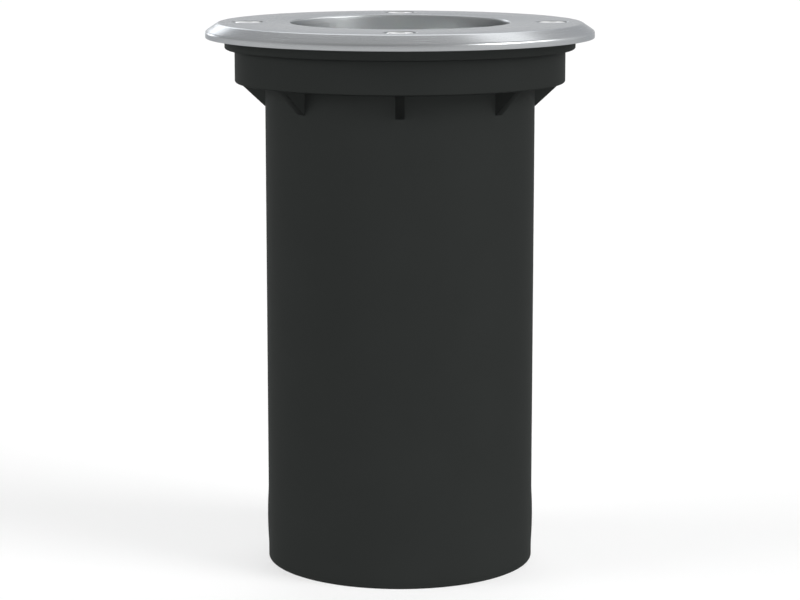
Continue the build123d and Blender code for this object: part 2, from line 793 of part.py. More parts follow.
fixing_point = [(terminal_fixing_x, terminal_middle)]
fixing_length = terminal_fixing_reach + terminal_fixing_depth
terminal_fixing_screw = build_small_screws(fixing_point, fixing_seat, fixing_length)
terminal_fixing_screw.part.label = "terminal_fixing_screw"
export_step(terminal_fixing_screw.part, "parts/terminal_fixing_screw.step")

# Leads from the terminal block up to the holder's contacts
lead_start = terminal_back - lead_insertion
lead_wall = sqrt(housing_inner_radius**2 - pole_spacing**2) - lead_diameter / 2 - lead_wall_gap
lead_level = bracket_bottom - lead_run_height
lead_ends = {"live_lead": (-pole_spacing, tail_points[1]), "neutral_lead": (0, tail_points[0])}
for lead_name, (pole_x, tail) in lead_ends.items():
    with BuildPart() as lead:
        with BuildLine() as lead_path:
            FilletPolyline(
                (pole_x, lead_start, pole_height),
                (pole_x, lead_wall, pole_height),
                (pole_x, lead_wall, lead_level),
                (tail[0], tail[1], lead_level),
                (tail[0], tail[1], tail_bottom),
                radius=lead_bend_radius,
            )
        with BuildSketch(Plane(lead_path.line @ 0, z_dir=lead_path.line % 0)):
            Circle(lead_diameter / 2)
        sweep()
    lead.part.label = lead_name
    export_step(lead.part, f"parts/{lead_name}.step")

# Earth tag with its crimp, screw, and the lead that runs into the crimp
earth_turn_radius = housing_inner_radius - lead_diameter / 2 - earth_lead_wall_gap
earth_turn_x, earth_turn_y = polar_point(earth_turn_radius, earth_lead_angle)
crimp_turn = atan2(earth_turn_y - earth_y, earth_turn_x - earth_x)
crimp_dir = Vector(cos(crimp_turn), sin(crimp_turn), 0)
tag_top = earth_seat + earth_tag_thickness
crimp_axis_height = earth_seat + crimp_diameter / 2
crimp_end = crimp_start + crimp_length
earth_axis = Vector(earth_x, earth_y, crimp_axis_height)
with BuildPart() as earth_tag:
    with BuildSketch(Plane.XY.offset(earth_seat)):
        with Locations((earth_x, earth_y)):
            Circle(earth_tag_diameter / 2)
        with Locations(Location((earth_x, earth_y, 0), (0, 0, degrees(crimp_turn)))):
            with Locations((crimp_end / 2, 0)):
                Rectangle(crimp_end, crimp_neck_width)
        with Locations((earth_x, earth_y)):
            Circle(earth_screw_diameter / 2 + small_screw_clearance, mode=Mode.SUBTRACT)
    extrude(amount=earth_tag_thickness)
    with BuildSketch(Plane(earth_axis + crimp_dir * crimp_start, z_dir=crimp_dir)):
        Circle(crimp_diameter / 2)
    extrude(amount=crimp_length)
    with BuildSketch(Plane(earth_axis + crimp_dir * crimp_start, z_dir=crimp_dir)):
        Circle(lead_diameter / 2 + crimp_clearance)
    extrude(amount=crimp_length, mode=Mode.SUBTRACT)
earth_tag.part.label = "earth_tag"
export_step(earth_tag.part, "parts/earth_tag.step")

with BuildPart() as earth_screw:
    with BuildSketch(Plane.XY.offset(tag_top)):
        with Locations((earth_x, earth_y)):
            Circle(earth_head_diameter / 2)
    extrude(amount=earth_head_height)
    with BuildSketch(Plane.XY.offset(tag_top)):
        with Locations((earth_x, earth_y)):
            Circle(earth_screw_diameter / 2)
    extrude(amount=-earth_screw_length)
    with BuildSketch(Plane.XY.offset(tag_top + earth_head_height)):
        with Locations((earth_x, earth_y)):
            RegularPolygon(cover_socket_width / 2, 6, major_radius=False)
    extrude(amount=-small_socket_depth, mode=Mode.SUBTRACT)
earth_screw.part.label = "earth_screw"
export_step(earth_screw.part, "parts/earth_screw.step")

with BuildPart() as earth_lead:
    with BuildLine() as earth_path:
        FilletPolyline(
            (pole_spacing, lead_start, pole_height),
            (pole_spacing, lead_wall, pole_height),
            (earth_turn_x, earth_turn_y, crimp_axis_height),
            earth_axis + crimp_dir * (crimp_start + crimp_clearance),
            radius=lead_bend_radius / 2,
        )
    with BuildSketch(Plane(earth_path.line @ 0, z_dir=earth_path.line % 0)):
        Circle(lead_diameter / 2)
    sweep()
earth_lead.part.label = "earth_lead"
export_step(earth_lead.part, "parts/earth_lead.step")

# Cable gland through the housing's floor
seal_bottom = gland_stem_bottom - gland_seal_stand
seal_top = seal_bottom + gland_seal_length
with BuildPart() as gland_body:
    with BuildSketch(Plane.XY.offset(gland_stem_bottom)):
        Circle(gland_radius)
    extrude(amount=locknut_top + gland_thread_reach - gland_stem_bottom)
    with BuildSketch(Plane.XY.offset(gland_hex_bottom)):
        RegularPolygon(gland_hex_radius, 6, major_radius=False)
    extrude(amount=gland_hex_height)
    with BuildSketch(Plane.XY.offset(gland_stem_bottom)):
        Circle(gland_radius - gland_bore_wall)
    extrude(amount=locknut_top + gland_thread_reach - gland_stem_bottom, mode=Mode.SUBTRACT)
    with BuildSketch(Plane.XY.offset(gland_stem_bottom)):
        Circle(gland_seal_radius + gland_seal_clearance)
    extrude(amount=seal_top - gland_stem_bottom, mode=Mode.SUBTRACT)
gland_body.part.label = "gland_body"
export_step(gland_body.part, "parts/gland_body.step")

with BuildPart() as gland_washer:
    with BuildSketch(Plane.XY.offset(gland_hex_top)):
        Circle(gland_hex_radius + gland_washer_margin)
        Circle(gland_radius + gland_hole_clearance, mode=Mode.SUBTRACT)
    extrude(amount=gland_washer_thickness)
gland_washer.part.label = "gland_washer"
export_step(gland_washer.part, "parts/gland_washer.step")

with BuildPart() as gland_locknut:
    with BuildSketch(Plane.XY.offset(housing_floor_top)):
        RegularPolygon(gland_hex_radius, 6, major_radius=False)
        Circle(gland_radius + small_screw_clearance, mode=Mode.SUBTRACT)
    extrude(amount=gland_locknut_height)
gland_locknut.part.label = "gland_locknut"
export_step(gland_locknut.part, "parts/gland_locknut.step")

with BuildPart() as gland_seal:
    with BuildSketch(Plane.XY.offset(seal_bottom)):
        Circle(gland_seal_radius)
        Circle(cable_bore_diameter / 2, mode=Mode.SUBTRACT)
    extrude(amount=gland_seal_length)
gland_seal.part.label = "gland_seal"
export_step(gland_seal.part, "parts/gland_seal.step")

# Gland nut: a hexagon whose lower end tapers to a round mouth
with BuildPart() as gland_nut:
    nut_top = gland_hex_bottom - gland_nut_gap
    taper_top = gland_nut_bottom + gland_nut_taper
    hex_corner_radius = gland_hex_radius / cos(radians(30))
    with BuildSketch(Plane.XY.offset(gland_nut_bottom)):
        RegularPolygon(gland_hex_radius, 6, major_radius=False)
    extrude(amount=nut_top - gland_nut_bottom)
    with BuildSketch(Plane.XZ):
        with BuildLine():
            Polyline(
                (0, gland_nut_bottom),
                (gland_hex_radius - gland_nut_end_inset, gland_nut_bottom),
                (hex_corner_radius, taper_top),
                (hex_corner_radius, nut_top),
                (0, nut_top),
                close=True,
            )
        make_face()
    revolve(axis=Axis.Z, mode=Mode.INTERSECT)
    with BuildSketch(Plane.XY.offset(gland_nut_bottom + gland_nut_lip)):
        Circle(gland_radius + gland_nut_clearance)
    extrude(amount=nut_top - gland_nut_bottom - gland_nut_lip, mode=Mode.SUBTRACT)
    with BuildSketch(Plane.XY.offset(gland_nut_bottom)):
        Circle(cable_bore_diameter / 2 + gland_nut_mouth_clearance)
    extrude(amount=gland_nut_lip, mode=Mode.SUBTRACT)
gland_nut.part.label = "gland_nut"
export_step(gland_nut.part, "parts/gland_nut.step")
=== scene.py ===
import math

import bmesh
import bpy
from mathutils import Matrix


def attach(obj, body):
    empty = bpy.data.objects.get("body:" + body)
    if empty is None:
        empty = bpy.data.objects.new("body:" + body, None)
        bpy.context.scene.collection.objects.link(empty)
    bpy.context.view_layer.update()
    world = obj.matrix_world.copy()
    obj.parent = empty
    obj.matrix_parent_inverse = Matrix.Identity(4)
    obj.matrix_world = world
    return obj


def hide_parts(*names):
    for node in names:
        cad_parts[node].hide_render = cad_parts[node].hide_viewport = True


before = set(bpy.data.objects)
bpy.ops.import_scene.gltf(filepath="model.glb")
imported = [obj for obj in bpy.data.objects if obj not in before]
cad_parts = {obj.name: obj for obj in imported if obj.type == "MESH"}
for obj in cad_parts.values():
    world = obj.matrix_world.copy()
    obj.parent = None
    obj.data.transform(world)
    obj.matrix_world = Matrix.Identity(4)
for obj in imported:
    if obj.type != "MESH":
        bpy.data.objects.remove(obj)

mm = 0.001
weld = 0.001  # points closer than this are one point, in mm
sliver = 0.002  # faces and edges smaller than this are merged away after a cut or a join, in mm
past = 1.0  # how far a cutter or a joined piece reaches past the face that it meets, in mm
arcSteps = {"least": 3, "perMm": 4}  # a larger rounding gets more steps
fullTurn = 2 * math.pi
hexHalf = math.radians(30)  # half the angle that one side of a hexagon takes up
upright = {"center": (0, 0, 0), "axis": (0, 0, 1)}
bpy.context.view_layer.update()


# Modelling helpers. Sizes are in mm, and every outline lies in the XZ plane.

def focus(piece, mode="OBJECT"):
    if bpy.context.object and bpy.context.object.mode != "OBJECT":
        bpy.ops.object.mode_set(mode="OBJECT")
    bpy.ops.object.select_all(action="DESELECT")
    bpy.context.view_layer.objects.active = piece
    piece.select_set(True)
    if mode == "EDIT":
        bpy.ops.object.mode_set(mode="EDIT")
        bpy.ops.mesh.select_all(action="SELECT")


def pickPoints(piece, wanted):
    bpy.ops.mesh.select_mode(type="VERT")
    bpy.ops.mesh.select_all(action="DESELECT")
    shape = bmesh.from_edit_mesh(piece.data)
    for point in shape.verts:
        point.select_set(wanted(point.co / mm))
    shape.select_flush_mode()
    bmesh.update_edit_mesh(piece.data)


def closeUp(piece):
    bpy.ops.mesh.select_all(action="SELECT")
    bpy.ops.mesh.remove_doubles(threshold=weld * mm)
    bpy.ops.mesh.normals_make_consistent(inside=False)
    bpy.ops.object.mode_set(mode="OBJECT")
    return piece


def roundCorner(piece, before, corner, after):
    across, up, rounding = corner
    first = math.atan2(before[1] - up, before[0] - across)
    second = math.atan2(after[1] - up, after[0] - across)
    between = abs(first - second) % fullTurn
    between = min(between, fullTurn - between)
    pickPoints(piece, lambda p: abs(p.x - across) < weld and abs(p.z - up) < weld)
    bpy.ops.mesh.bevel(
        affect="VERTICES",
        offset_type="OFFSET",
        offset=rounding * mm / math.tan(between / 2),  # where the arc starts on each side
        segments=arcSteps["least"] + round(arcSteps["perMm"] * rounding),
    )


def traceOutline(name, corners, closed=True):  # corners: (across, up) or (across, up, rounding)
    bpy.ops.object.select_all(action="DESELECT")
    bpy.ops.mesh.primitive_plane_add(size=mm)
    piece = bpy.context.object
    piece.name = piece.data.name = name
    focus(piece, "EDIT")
    bpy.ops.mesh.merge(type="CENTER")
    bpy.ops.transform.translate(value=(corners[0][0] * mm, 0, corners[0][1] * mm))
    stops = corners + corners[:1] if closed else corners
    for here, there in zip(stops, stops[1:]):
        step = ((there[0] - here[0]) * mm, 0, (there[1] - here[1]) * mm)
        bpy.ops.mesh.extrude_region_move(TRANSFORM_OT_translate={"value": step})
    bpy.ops.mesh.select_all(action="SELECT")
    bpy.ops.mesh.remove_doubles(threshold=weld * mm)
    for number, corner in enumerate(corners):
        if len(corner) > 2:
            roundCorner(piece, corners[number - 1], corner, corners[(number + 1) % len(corners)])
    return piece


def turned(name, corners, steps=128, closed=True):  # an outline spun about the upright axis
    piece = traceOutline(name, corners, closed)
    bpy.ops.mesh.select_all(action="SELECT")
    bpy.ops.mesh.spin(steps=steps, angle=fullTurn, **upright)
    return closeUp(piece)


def rod(name, radius, bottom, top, steps):
    return turned(name, [(0, bottom), (radius, bottom), (radius, top), (0, top)], steps, closed=False)


def plate(name, corners, thickness):  # an outline filled and drawn out to both sides
    piece = traceOutline(name, corners)
    bpy.ops.mesh.select_all(action="SELECT")
    bpy.ops.mesh.edge_face_add()
    bpy.ops.transform.translate(value=(0, -thickness / 2 * mm, 0))
    bpy.ops.mesh.extrude_region_move(TRANSFORM_OT_translate={"value": (0, thickness * mm, 0)})
    return closeUp(piece)


def hexCorner(flats):  # from a hexagon's middle to its corners
    return flats / 2 / math.cos(hexHalf)


def hexBar(name, flats, bottom, top):  # corners to the left and right, flats to the front and back
    bpy.ops.object.select_all(action="DESELECT")
    bpy.ops.mesh.primitive_cylinder_add(
        vertices=6,
        radius=hexCorner(flats) * mm,
        depth=(top - bottom) * mm,
        location=(0, 0, (bottom + top) / 2 * mm),
        rotation=(0, 0, hexHalf),
    )
    piece = bpy.context.object
    piece.name = piece.data.name = name
    bpy.ops.object.transform_apply(location=True, rotation=True, scale=True)
    return piece


def shift(piece, across, deep):
    focus(piece, "EDIT")
    bpy.ops.transform.translate(value=(across * mm, deep * mm, 0))
    bpy.ops.object.mode_set(mode="OBJECT")
    return piece


def copyRound(piece, count):  # even copies about the upright axis, in the same mesh
    focus(piece, "EDIT")
    bpy.ops.mesh.spin(steps=count - 1, dupli=True, angle=fullTurn * (count - 1) / count, **upright)
    bpy.ops.object.mode_set(mode="OBJECT")
    return piece


def ringOf(piece, circle, count):  # moved out to a circle, then copied round it
    return copyRound(shift(piece, circle, 0), count)


def softenEdges(piece, width, segments, sharp=40):
    rounding = piece.modifiers.new("soft edges", "BEVEL")
    rounding.width = width * mm
    rounding.segments = segments
    rounding.limit_method = "ANGLE"
    rounding.angle_limit = math.radians(sharp)
    focus(piece)
    bpy.ops.object.modifier_apply(modifier=rounding.name)
    return piece


def joinSolid(piece, other, operation="UNION"):
    work = piece.modifiers.new("work", "BOOLEAN")
    work.operation = operation
    work.solver = "EXACT"
    work.object = other
    focus(piece)
    bpy.ops.object.modifier_apply(modifier=work.name)
    bpy.data.objects.remove(other)
    focus(piece, "EDIT")
    bpy.ops.mesh.remove_doubles(threshold=sliver * mm)
    bpy.ops.mesh.dissolve_degenerate(threshold=sliver * mm)
    bpy.ops.object.mode_set(mode="OBJECT")
    return piece


def cutAway(piece, cutter):
    return joinSolid(piece, cutter, "DIFFERENCE")


def ownCopy(piece, name):
    focus(piece)
    bpy.ops.object.duplicate(linked=False)
    made = bpy.context.object
    made.name = made.data.name = name
    return made


def settle(piece, body, slotName, finish, *stoodFor, smooth=35):
    focus(piece)
    bpy.ops.object.shade_smooth_by_angle(angle=math.radians(smooth))
    piece.data.materials.clear()
    piece.data.materials.append(finish)
    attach(piece, body)
    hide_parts(*stoodFor)
    print("made", piece.name, "with", len(piece.data.polygons), "faces")


# Finishes

white = (1, 1, 1, 1)
black = (0, 0, 0, 1)


class Wire:  # a node's output, so that shader sums are written as sums
    def __init__(self, tree, socket=None):
        self.tree = tree
        self.socket = socket

    def node(self, kind, settings=None, inputs=None, out=0):
        made = self.tree.nodes.new("ShaderNode" + kind)
        for name, value in (settings or {}).items():
            if name == "stops":  # a ramp's (place, colour) pairs
                for number, (place, colour) in enumerate(value):
                    ramp = made.color_ramp.elements
                    stop = ramp[number] if number < 2 else ramp.new(place)
                    stop.position = place
                    stop.color = colour
            else:
                setattr(made, name, value)
        for name, value in (inputs or {}).items():
            if isinstance(value, Wire):
                self.tree.links.new(value.socket, made.inputs[name])
            else:
                made.inputs[name].default_value = value
        return Wire(self.tree, made.outputs[out] if made.outputs else None)

    def beside(self, out):  # another output of the same node
        return Wire(self.tree, self.socket.node.outputs[out])

    def sum(self, operation, first, second):
        return self.node("Math", {"operation": operation}, {0: first, 1: second})

    def __add__(self, other):
        return self.sum("ADD", self, other)

    def __radd__(self, other):
        return self.sum("ADD", other, self)

    def __sub__(self, other):
        return self.sum("SUBTRACT", self, other)

    def __rsub__(self, other):
        return self.sum("SUBTRACT", other, self)

    def __mul__(self, other):
        return self.sum("MULTIPLY", self, other)

    def __rmul__(self, other):
        return self.sum("MULTIPLY", other, self)

    def __truediv__(self, other):
        return self.sum("DIVIDE", self, other)

    def __rtruediv__(self, other):
        return self.sum("DIVIDE", other, self)

    def __pow__(self, other):
        return self.sum("POWER", self, other)

    def __rpow__(self, other):
        return self.sum("POWER", other, self)

    def blend(self, first, second):  # two colours, mixed by this value
        return self.node("Mix", {"data_type": "RGBA"}, {0: self, 6: first, 7: second}, 2)

    def noise(self, scale, detail, roughness=0.5):
        inputs = {"Vector": self, "Scale": scale, "Detail": detail, "Roughness": roughness}
        return self.node("TexNoise", None, inputs)

    def bump(self, strength, depth):  # this value as a relief, its depth in mm
        return self.node("Bump", None, {"Strength": strength, "Distance": depth * mm, "Height": self})


def fromAxis(x, y):  # distance from the upright axis
    return (x * x + y * y) ** 0.5


def newFinish(name, fixed):  # values that are the same all over sit on the shader's own sockets
    material = bpy.data.materials.new(name)
    material.use_nodes = True
    tree = material.node_tree
    shader = tree.nodes["Principled BSDF"]
    for socket, value in fixed.items():
        shader.inputs[socket].default_value = value
    place = Wire(tree).node("TexCoord", out="Object")

    def feed(socket, wire):
        tree.links.new(wire.socket, shader.inputs[socket])

    return material, place, feed


def cloudAndGrain(place, feed, look):  # uneven colour and shine, with a fine relief
    cloud = place.noise(look["cloudScale"], detail=4.0)
    grain = place.noise(look["grainScale"], detail=3.0, roughness=0.6)
    feed("Base Color", cloud.blend(look["dark"], look["light"]))
    feed("Roughness", look["roughness"] + look["roughSpread"] * (cloud + grain - 1.0))
    feed("Normal", grain.bump(look["bump"], look["bumpDepth"]))


def mouldedFinish(name, look):  # plastic, rubber and ceramic
    material, place, feed = newFinish(name, {"Specular IOR Level": look["gloss"]})
    cloudAndGrain(place, feed, look)
    return material


def grainedFinish(name, look):  # cast, plated and drawn metal
    material, place, feed = newFinish(name, {"Metallic": 1.0, "Anisotropic": look.get("streak", 0.0)})
    cloudAndGrain(place, feed, look)
    return material


def turnedFinish(name, look):  # metal with fine lines round the upright axis, from lathe or brush
    fixed = {
        "Metallic": 1.0,
        "Anisotropic": look["streak"],
        "Anisotropic Rotation": 0.25,  # lines run round, so highlights spread across them
        "Specular Tint": look["edgeTint"],
    }
    material, place, feed = newFinish(name, fixed)
    x = place.node("SeparateXYZ", None, {0: place})
    y, z = x.beside("Y"), x.beside("Z")
    radius = fromAxis(x, y)
    fine = look["linesPerMm"] / mm
    along = look["lineBreaks"] / radius  # how often a line fades on its way round
    flow = place.node("CombineXYZ", None, {0: radius * fine, 1: z * fine, 2: x * along})
    lines = place.node(
        "TexNoise",
        {"noise_dimensions": "4D"},
        {"Vector": flow, "W": y * along, "Scale": 1.0, "Detail": 3.0, "Roughness": 0.65},
    )
    cloud = place.noise(look["cloudScale"], detail=3.0)
    bore = radius.sum("LESS_THAN", radius, look["bore"] * mm)  # a hole's wall is rougher, and its colour is darkened there as painted shade
    uneven = look["lineSpread"] * (lines - 0.5) + look["cloudSpread"] * (cloud - 0.5)
    # painted shade: inside the hole the base colour is mixed towards black
    shade = bore * look["borePaintedShade"]
    feed("Base Color", shade.blend(lines.blend(look["dark"], look["light"]), black))
    feed("Roughness", look["roughness"] + look["boreRough"] * bore + uneven)
    feed("Normal", lines.bump(look["bump"], look["bumpDepth"]))
    return material


def stripedFinish(name, look):  # earth lead: one colour with bands of another
    material, place, feed = newFinish(name, {"Specular IOR Level": look["gloss"]})
    bands = place.node(
        "TexWave",
        {"wave_type": "BANDS", "bands_direction": "DIAGONAL"},
        {"Vector": place, "Scale": look["bandScale"], "Distortion": 0.4, "Detail": 1.0},
    )
    edge = bands.node("ValToRGB", {"stops": look["stops"]}, {0: bands})
    cloud = place.noise(look["cloudScale"], detail=3.0)
    feed("Base Color", edge.blend(look["ground"], look["stripe"]))
    feed("Roughness", look["roughness"] + look["roughSpread"] * cloud)
    return material


def boardFinish(name, look):  # white board below, yellow chips above
    material, place, feed = newFinish(name, {"Specular IOR Level": look["gloss"]})
    z = place.node("SeparateXYZ", None, {0: place}, "Z")
    chips = z.sum("GREATER_THAN", z, look["boardTop"] * mm)
    cloud = place.noise(look["cloudScale"], detail=3.0)
    feed("Base Color", chips.blend(look["board"], look["chip"]))
    feed("Roughness", look["roughness"] + look["roughSpread"] * cloud - look["chipShine"] * chips)
    return material


def frostedFinish(name, look):  # lamp's front: milky plastic with faint rings from its mould
    fixed = {
        "Specular IOR Level": look["gloss"],
        "Subsurface Weight": look["milk"],
        "Subsurface Scale": look["milkDepth"] * mm,
    }
    material, place, feed = newFinish(name, fixed)
    x = place.node("SeparateXYZ", None, {0: place})
    rings = fromAxis(x, x.beside("Y")) * (look["ringsPerMm"] * fullTurn / mm)
    wave = rings.sum("SINE", rings, 0.0)
    cloud = place.noise(look["cloudScale"], detail=3.0)
    feed("Base Color", cloud.blend(look["dark"], look["light"]))
    feed("Roughness", look["roughness"] + look["roughSpread"] * (cloud - 0.5))
    feed("Normal", wave.bump(look["bump"], look["bumpDepth"]))
    return material


def glassFinish(name, look):  # thick float glass, faintly green, with a trace of wiping marks
    fixed = {"Transmission Weight": 1.0, "IOR": look["ior"], "Base Color": look["tint"]}
    material, place, feed = newFinish(name, fixed)
    marks = place.noise(look["markScale"], detail=5.0, roughness=0.7)
    feed("Roughness", look["roughness"] + look["markSpread"] * marks ** 3.0)
    return material


sleevePlastic = mouldedFinish("sleevePlastic", {
    "dark": (0.0230, 0.0250, 0.0240, 1), "light": (0.0270, 0.0292, 0.0281, 1), "gloss": 0.008,
    "roughness": 0.60, "roughSpread": 0.08, "cloudScale": 45, "grainScale": 3200,
    "bump": 0.12, "bumpDepth": 0.03,
})
stainlessSteel = turnedFinish("stainlessSteel", {
    "dark": (0.356, 0.367, 0.375, 1), "light": (0.408, 0.419, 0.429, 1),
    "edgeTint": (0.58, 0.595, 0.615, 1), "roughness": 0.26, "streak": 0.10,
    "bore": 31.1, "boreRough": 0.12, "borePaintedShade": 0.12,
    "linesPerMm": 6.0, "lineBreaks": 3.0, "lineSpread": 0.10, "cloudScale": 60, "cloudSpread": 0.05,
    "bump": 0.10, "bumpDepth": 0.012,
})
brightAluminium = turnedFinish("brightAluminium", {
    "dark": (0.76, 0.76, 0.77, 1), "light": (0.86, 0.86, 0.87, 1),
    "edgeTint": (0.95, 0.95, 0.95, 1), "roughness": 0.17, "streak": 0.35,
    "bore": 0.0, "boreRough": 0.0, "borePaintedShade": 0.0,
    "linesPerMm": 4.0, "lineBreaks": 2.0, "lineSpread": 0.08, "cloudScale": 50, "cloudSpread": 0.04,
    "bump": 0.06, "bumpDepth": 0.01,
})
screwSteel = grainedFinish("screwSteel", {
    "dark": (0.515, 0.525, 0.54, 1), "light": (0.60, 0.61, 0.625, 1), "streak": 0.3,
    "roughness": 0.16, "roughSpread": 0.06, "cloudScale": 400, "grainScale": 4000,
    "bump": 0.05, "bumpDepth": 0.01,
})
zincSteel = grainedFinish("zincSteel", {
    "dark": (0.47, 0.49, 0.52, 1), "light": (0.58, 0.60, 0.62, 1),
    "roughness": 0.34, "roughSpread": 0.12, "cloudScale": 300, "grainScale": 2500,
    "bump": 0.08, "bumpDepth": 0.01,
})
brass = grainedFinish("brass", {
    "dark": (0.62, 0.45, 0.18, 1), "light": (0.76, 0.58, 0.27, 1),
    "roughness": 0.26, "roughSpread": 0.10, "cloudScale": 350, "grainScale": 3000,
    "bump": 0.06, "bumpDepth": 0.01,
})
castAluminium = grainedFinish("castAluminium", {
    "dark": (0.50, 0.51, 0.52, 1), "light": (0.60, 0.61, 0.62, 1),
    "roughness": 0.46, "roughSpread": 0.10, "cloudScale": 90, "grainScale": 1800,
    "bump": 0.30, "bumpDepth": 0.04,
})
blackRubber = mouldedFinish("blackRubber", {
    "dark": (0.012, 0.012, 0.012, 1), "light": (0.022, 0.022, 0.022, 1), "gloss": 0.25,
    "roughness": 0.68, "roughSpread": 0.10, "cloudScale": 200, "grainScale": 2600,
    "bump": 0.20, "bumpDepth": 0.03,
})
glandPlastic = mouldedFinish("glandPlastic", {
    "dark": (0.022, 0.022, 0.024, 1), "light": (0.032, 0.032, 0.035, 1), "gloss": 0.4,
    "roughness": 0.40, "roughSpread": 0.08, "cloudScale": 150, "grainScale": 3000,
    "bump": 0.12, "bumpDepth": 0.02,
})
terminalPlastic = mouldedFinish("terminalPlastic", {
    "dark": (0.74, 0.73, 0.67, 1), "light": (0.80, 0.79, 0.74, 1), "gloss": 0.45,
    "roughness": 0.42, "roughSpread": 0.08, "cloudScale": 180, "grainScale": 2400,
    "bump": 0.10, "bumpDepth": 0.02,
})
whiteCeramic = mouldedFinish("whiteCeramic", {
    "dark": (0.78, 0.77, 0.72, 1), "light": (0.86, 0.85, 0.81, 1), "gloss": 0.35,
    "roughness": 0.62, "roughSpread": 0.10, "cloudScale": 250, "grainScale": 1600,
    "bump": 0.25, "bumpDepth": 0.04,
})
lampWhite = mouldedFinish("lampWhite", {
    "dark": (0.78, 0.78, 0.76, 1), "light": (0.84, 0.84, 0.82, 1), "gloss": 0.5,
    "roughness": 0.30, "roughSpread": 0.06, "cloudScale": 120, "grainScale": 2800,
    "bump": 0.06, "bumpDepth": 0.02,
})
brownInsulation = mouldedFinish("brownInsulation", {
    "dark": (0.150, 0.060, 0.025, 1), "light": (0.200, 0.085, 0.037, 1), "gloss": 0.45,
    "roughness": 0.42, "roughSpread": 0.08, "cloudScale": 200, "grainScale": 2600,
    "bump": 0.06, "bumpDepth": 0.02,
})
blueInsulation = mouldedFinish("blueInsulation", {
    "dark": (0.040, 0.120, 0.400, 1), "light": (0.055, 0.150, 0.480, 1), "gloss": 0.45,
    "roughness": 0.42, "roughSpread": 0.08, "cloudScale": 200, "grainScale": 2600,
    "bump": 0.06, "bumpDepth": 0.02,
})
earthInsulation = stripedFinish("earthInsulation", {
    "ground": (0.150, 0.380, 0.040, 1), "stripe": (0.780, 0.640, 0.040, 1), "gloss": 0.45,
    "bandScale": 60, "stops": ((0.46, black), (0.54, white)),
    "roughness": 0.36, "roughSpread": 0.12, "cloudScale": 300,
})
lampBoard = boardFinish("lampBoard", {
    "board": (0.82, 0.82, 0.80, 1), "chip": (0.84, 0.60, 0.10, 1), "gloss": 0.4, "boardTop": 122.7,
    "roughness": 0.45, "roughSpread": 0.15, "chipShine": 0.15, "cloudScale": 400,
})
lampDiffuser = frostedFinish("lampDiffuser", {
    "dark": (0.80, 0.80, 0.78, 1), "light": (0.88, 0.88, 0.86, 1), "gloss": 0.5,
    "milk": 0.25, "milkDepth": 2, "roughness": 0.36, "roughSpread": 0.08, "cloudScale": 300,
    "ringsPerMm": 0.5, "bump": 0.25, "bumpDepth": 0.05,
})
clearGlass = glassFinish("clearGlass", {
    "tint": (0.93, 0.97, 0.95, 1), "ior": 1.5, "roughness": 0.004, "markScale": 90, "markSpread": 0.05,
})
print("finishes:", len(bpy.data.materials))


# The cover screws' circle, which the ring, the sleeve and the housing share
screwRing = {"circle": 43.0, "count": 4}


# Cover ring: flat satin top, bevelled rim, round hole, four screw recesses
coverRing = {
    "hole": 31.0, "bottom": 150.0, "top": 155.0, "holeRound": 0.5, "flatEdge": 51.5, "flatRound": 1.5,
    "edge": 55.0, "bandTop": 152.6, "bandRound": 0.9, "rimBottom": 150.8, "rimRound": 0.2,
    "groove": 50.2, "grooveTop": 151.3, "spigot": 44.7, "underRound": 0.2, "steps": 192,
    "recess": 4.5, "recessFloor": 152.6, "recessRound": 0.15, "recessBreak": 0.22, "screwHole": 2.25,
    "recessSteps": 48,
}


def makeCoverRing(size):
    ring = turned("coverRing", [
        (size["hole"], size["bottom"], size["underRound"]),
        (size["hole"], size["top"], size["holeRound"]),
        (size["flatEdge"], size["top"], size["flatRound"]),
        (size["edge"], size["bandTop"], size["bandRound"]),
        (size["edge"], size["rimBottom"], size["rimRound"]),
        (size["groove"], size["rimBottom"], size["underRound"]),
        (size["groove"], size["grooveTop"]),
        (size["spigot"], size["grooveTop"]),
        (size["spigot"], size["bottom"], size["underRound"]),
    ], size["steps"])
    cutter = turned("recessCutter", [
        (0, size["bottom"] - past),
        (size["screwHole"], size["bottom"] - past),
        (size["screwHole"], size["recessFloor"]),
        (size["recess"], size["recessFloor"], size["recessRound"]),
        (size["recess"], size["top"] - size["recessBreak"]),
        (size["recess"] + size["recessBreak"], size["top"]),
        (size["recess"] + size["recessBreak"], size["top"] + past),
        (0, size["top"] + past),
    ], size["recessSteps"], closed=False)
    return cutAway(ring, ringOf(cutter, **screwRing))


settle(makeCoverRing(coverRing), "cover", "stainless_steel", stainlessSteel, "cover_ring", smooth=28)


# Cover screws: crowned heads with a hexagon socket, on threaded shanks
coverScrew = {
    "seat": coverRing["recessFloor"], "head": 4.1, "headHeight": 2.35, "seatRound": 0.15, "crown": 1.0,
    "headSteps": 64, "socketFlats": 2.5, "socketDepth": 1.5, "socketBreak": 0.18, "socketSteps": 48,
    "length": 12.0, "tip": 0.85, "core": 1.5, "coreTurns": 2, "coreSteps": 40,
    "crest": 2.0, "root": 1.62, "pitch": 0.7, "turns": 16, "threadSteps": 20,
    "crestStart": 0.36, "crestEnd": 0.48, "rootStart": 0.84,  # shares of the pitch
}


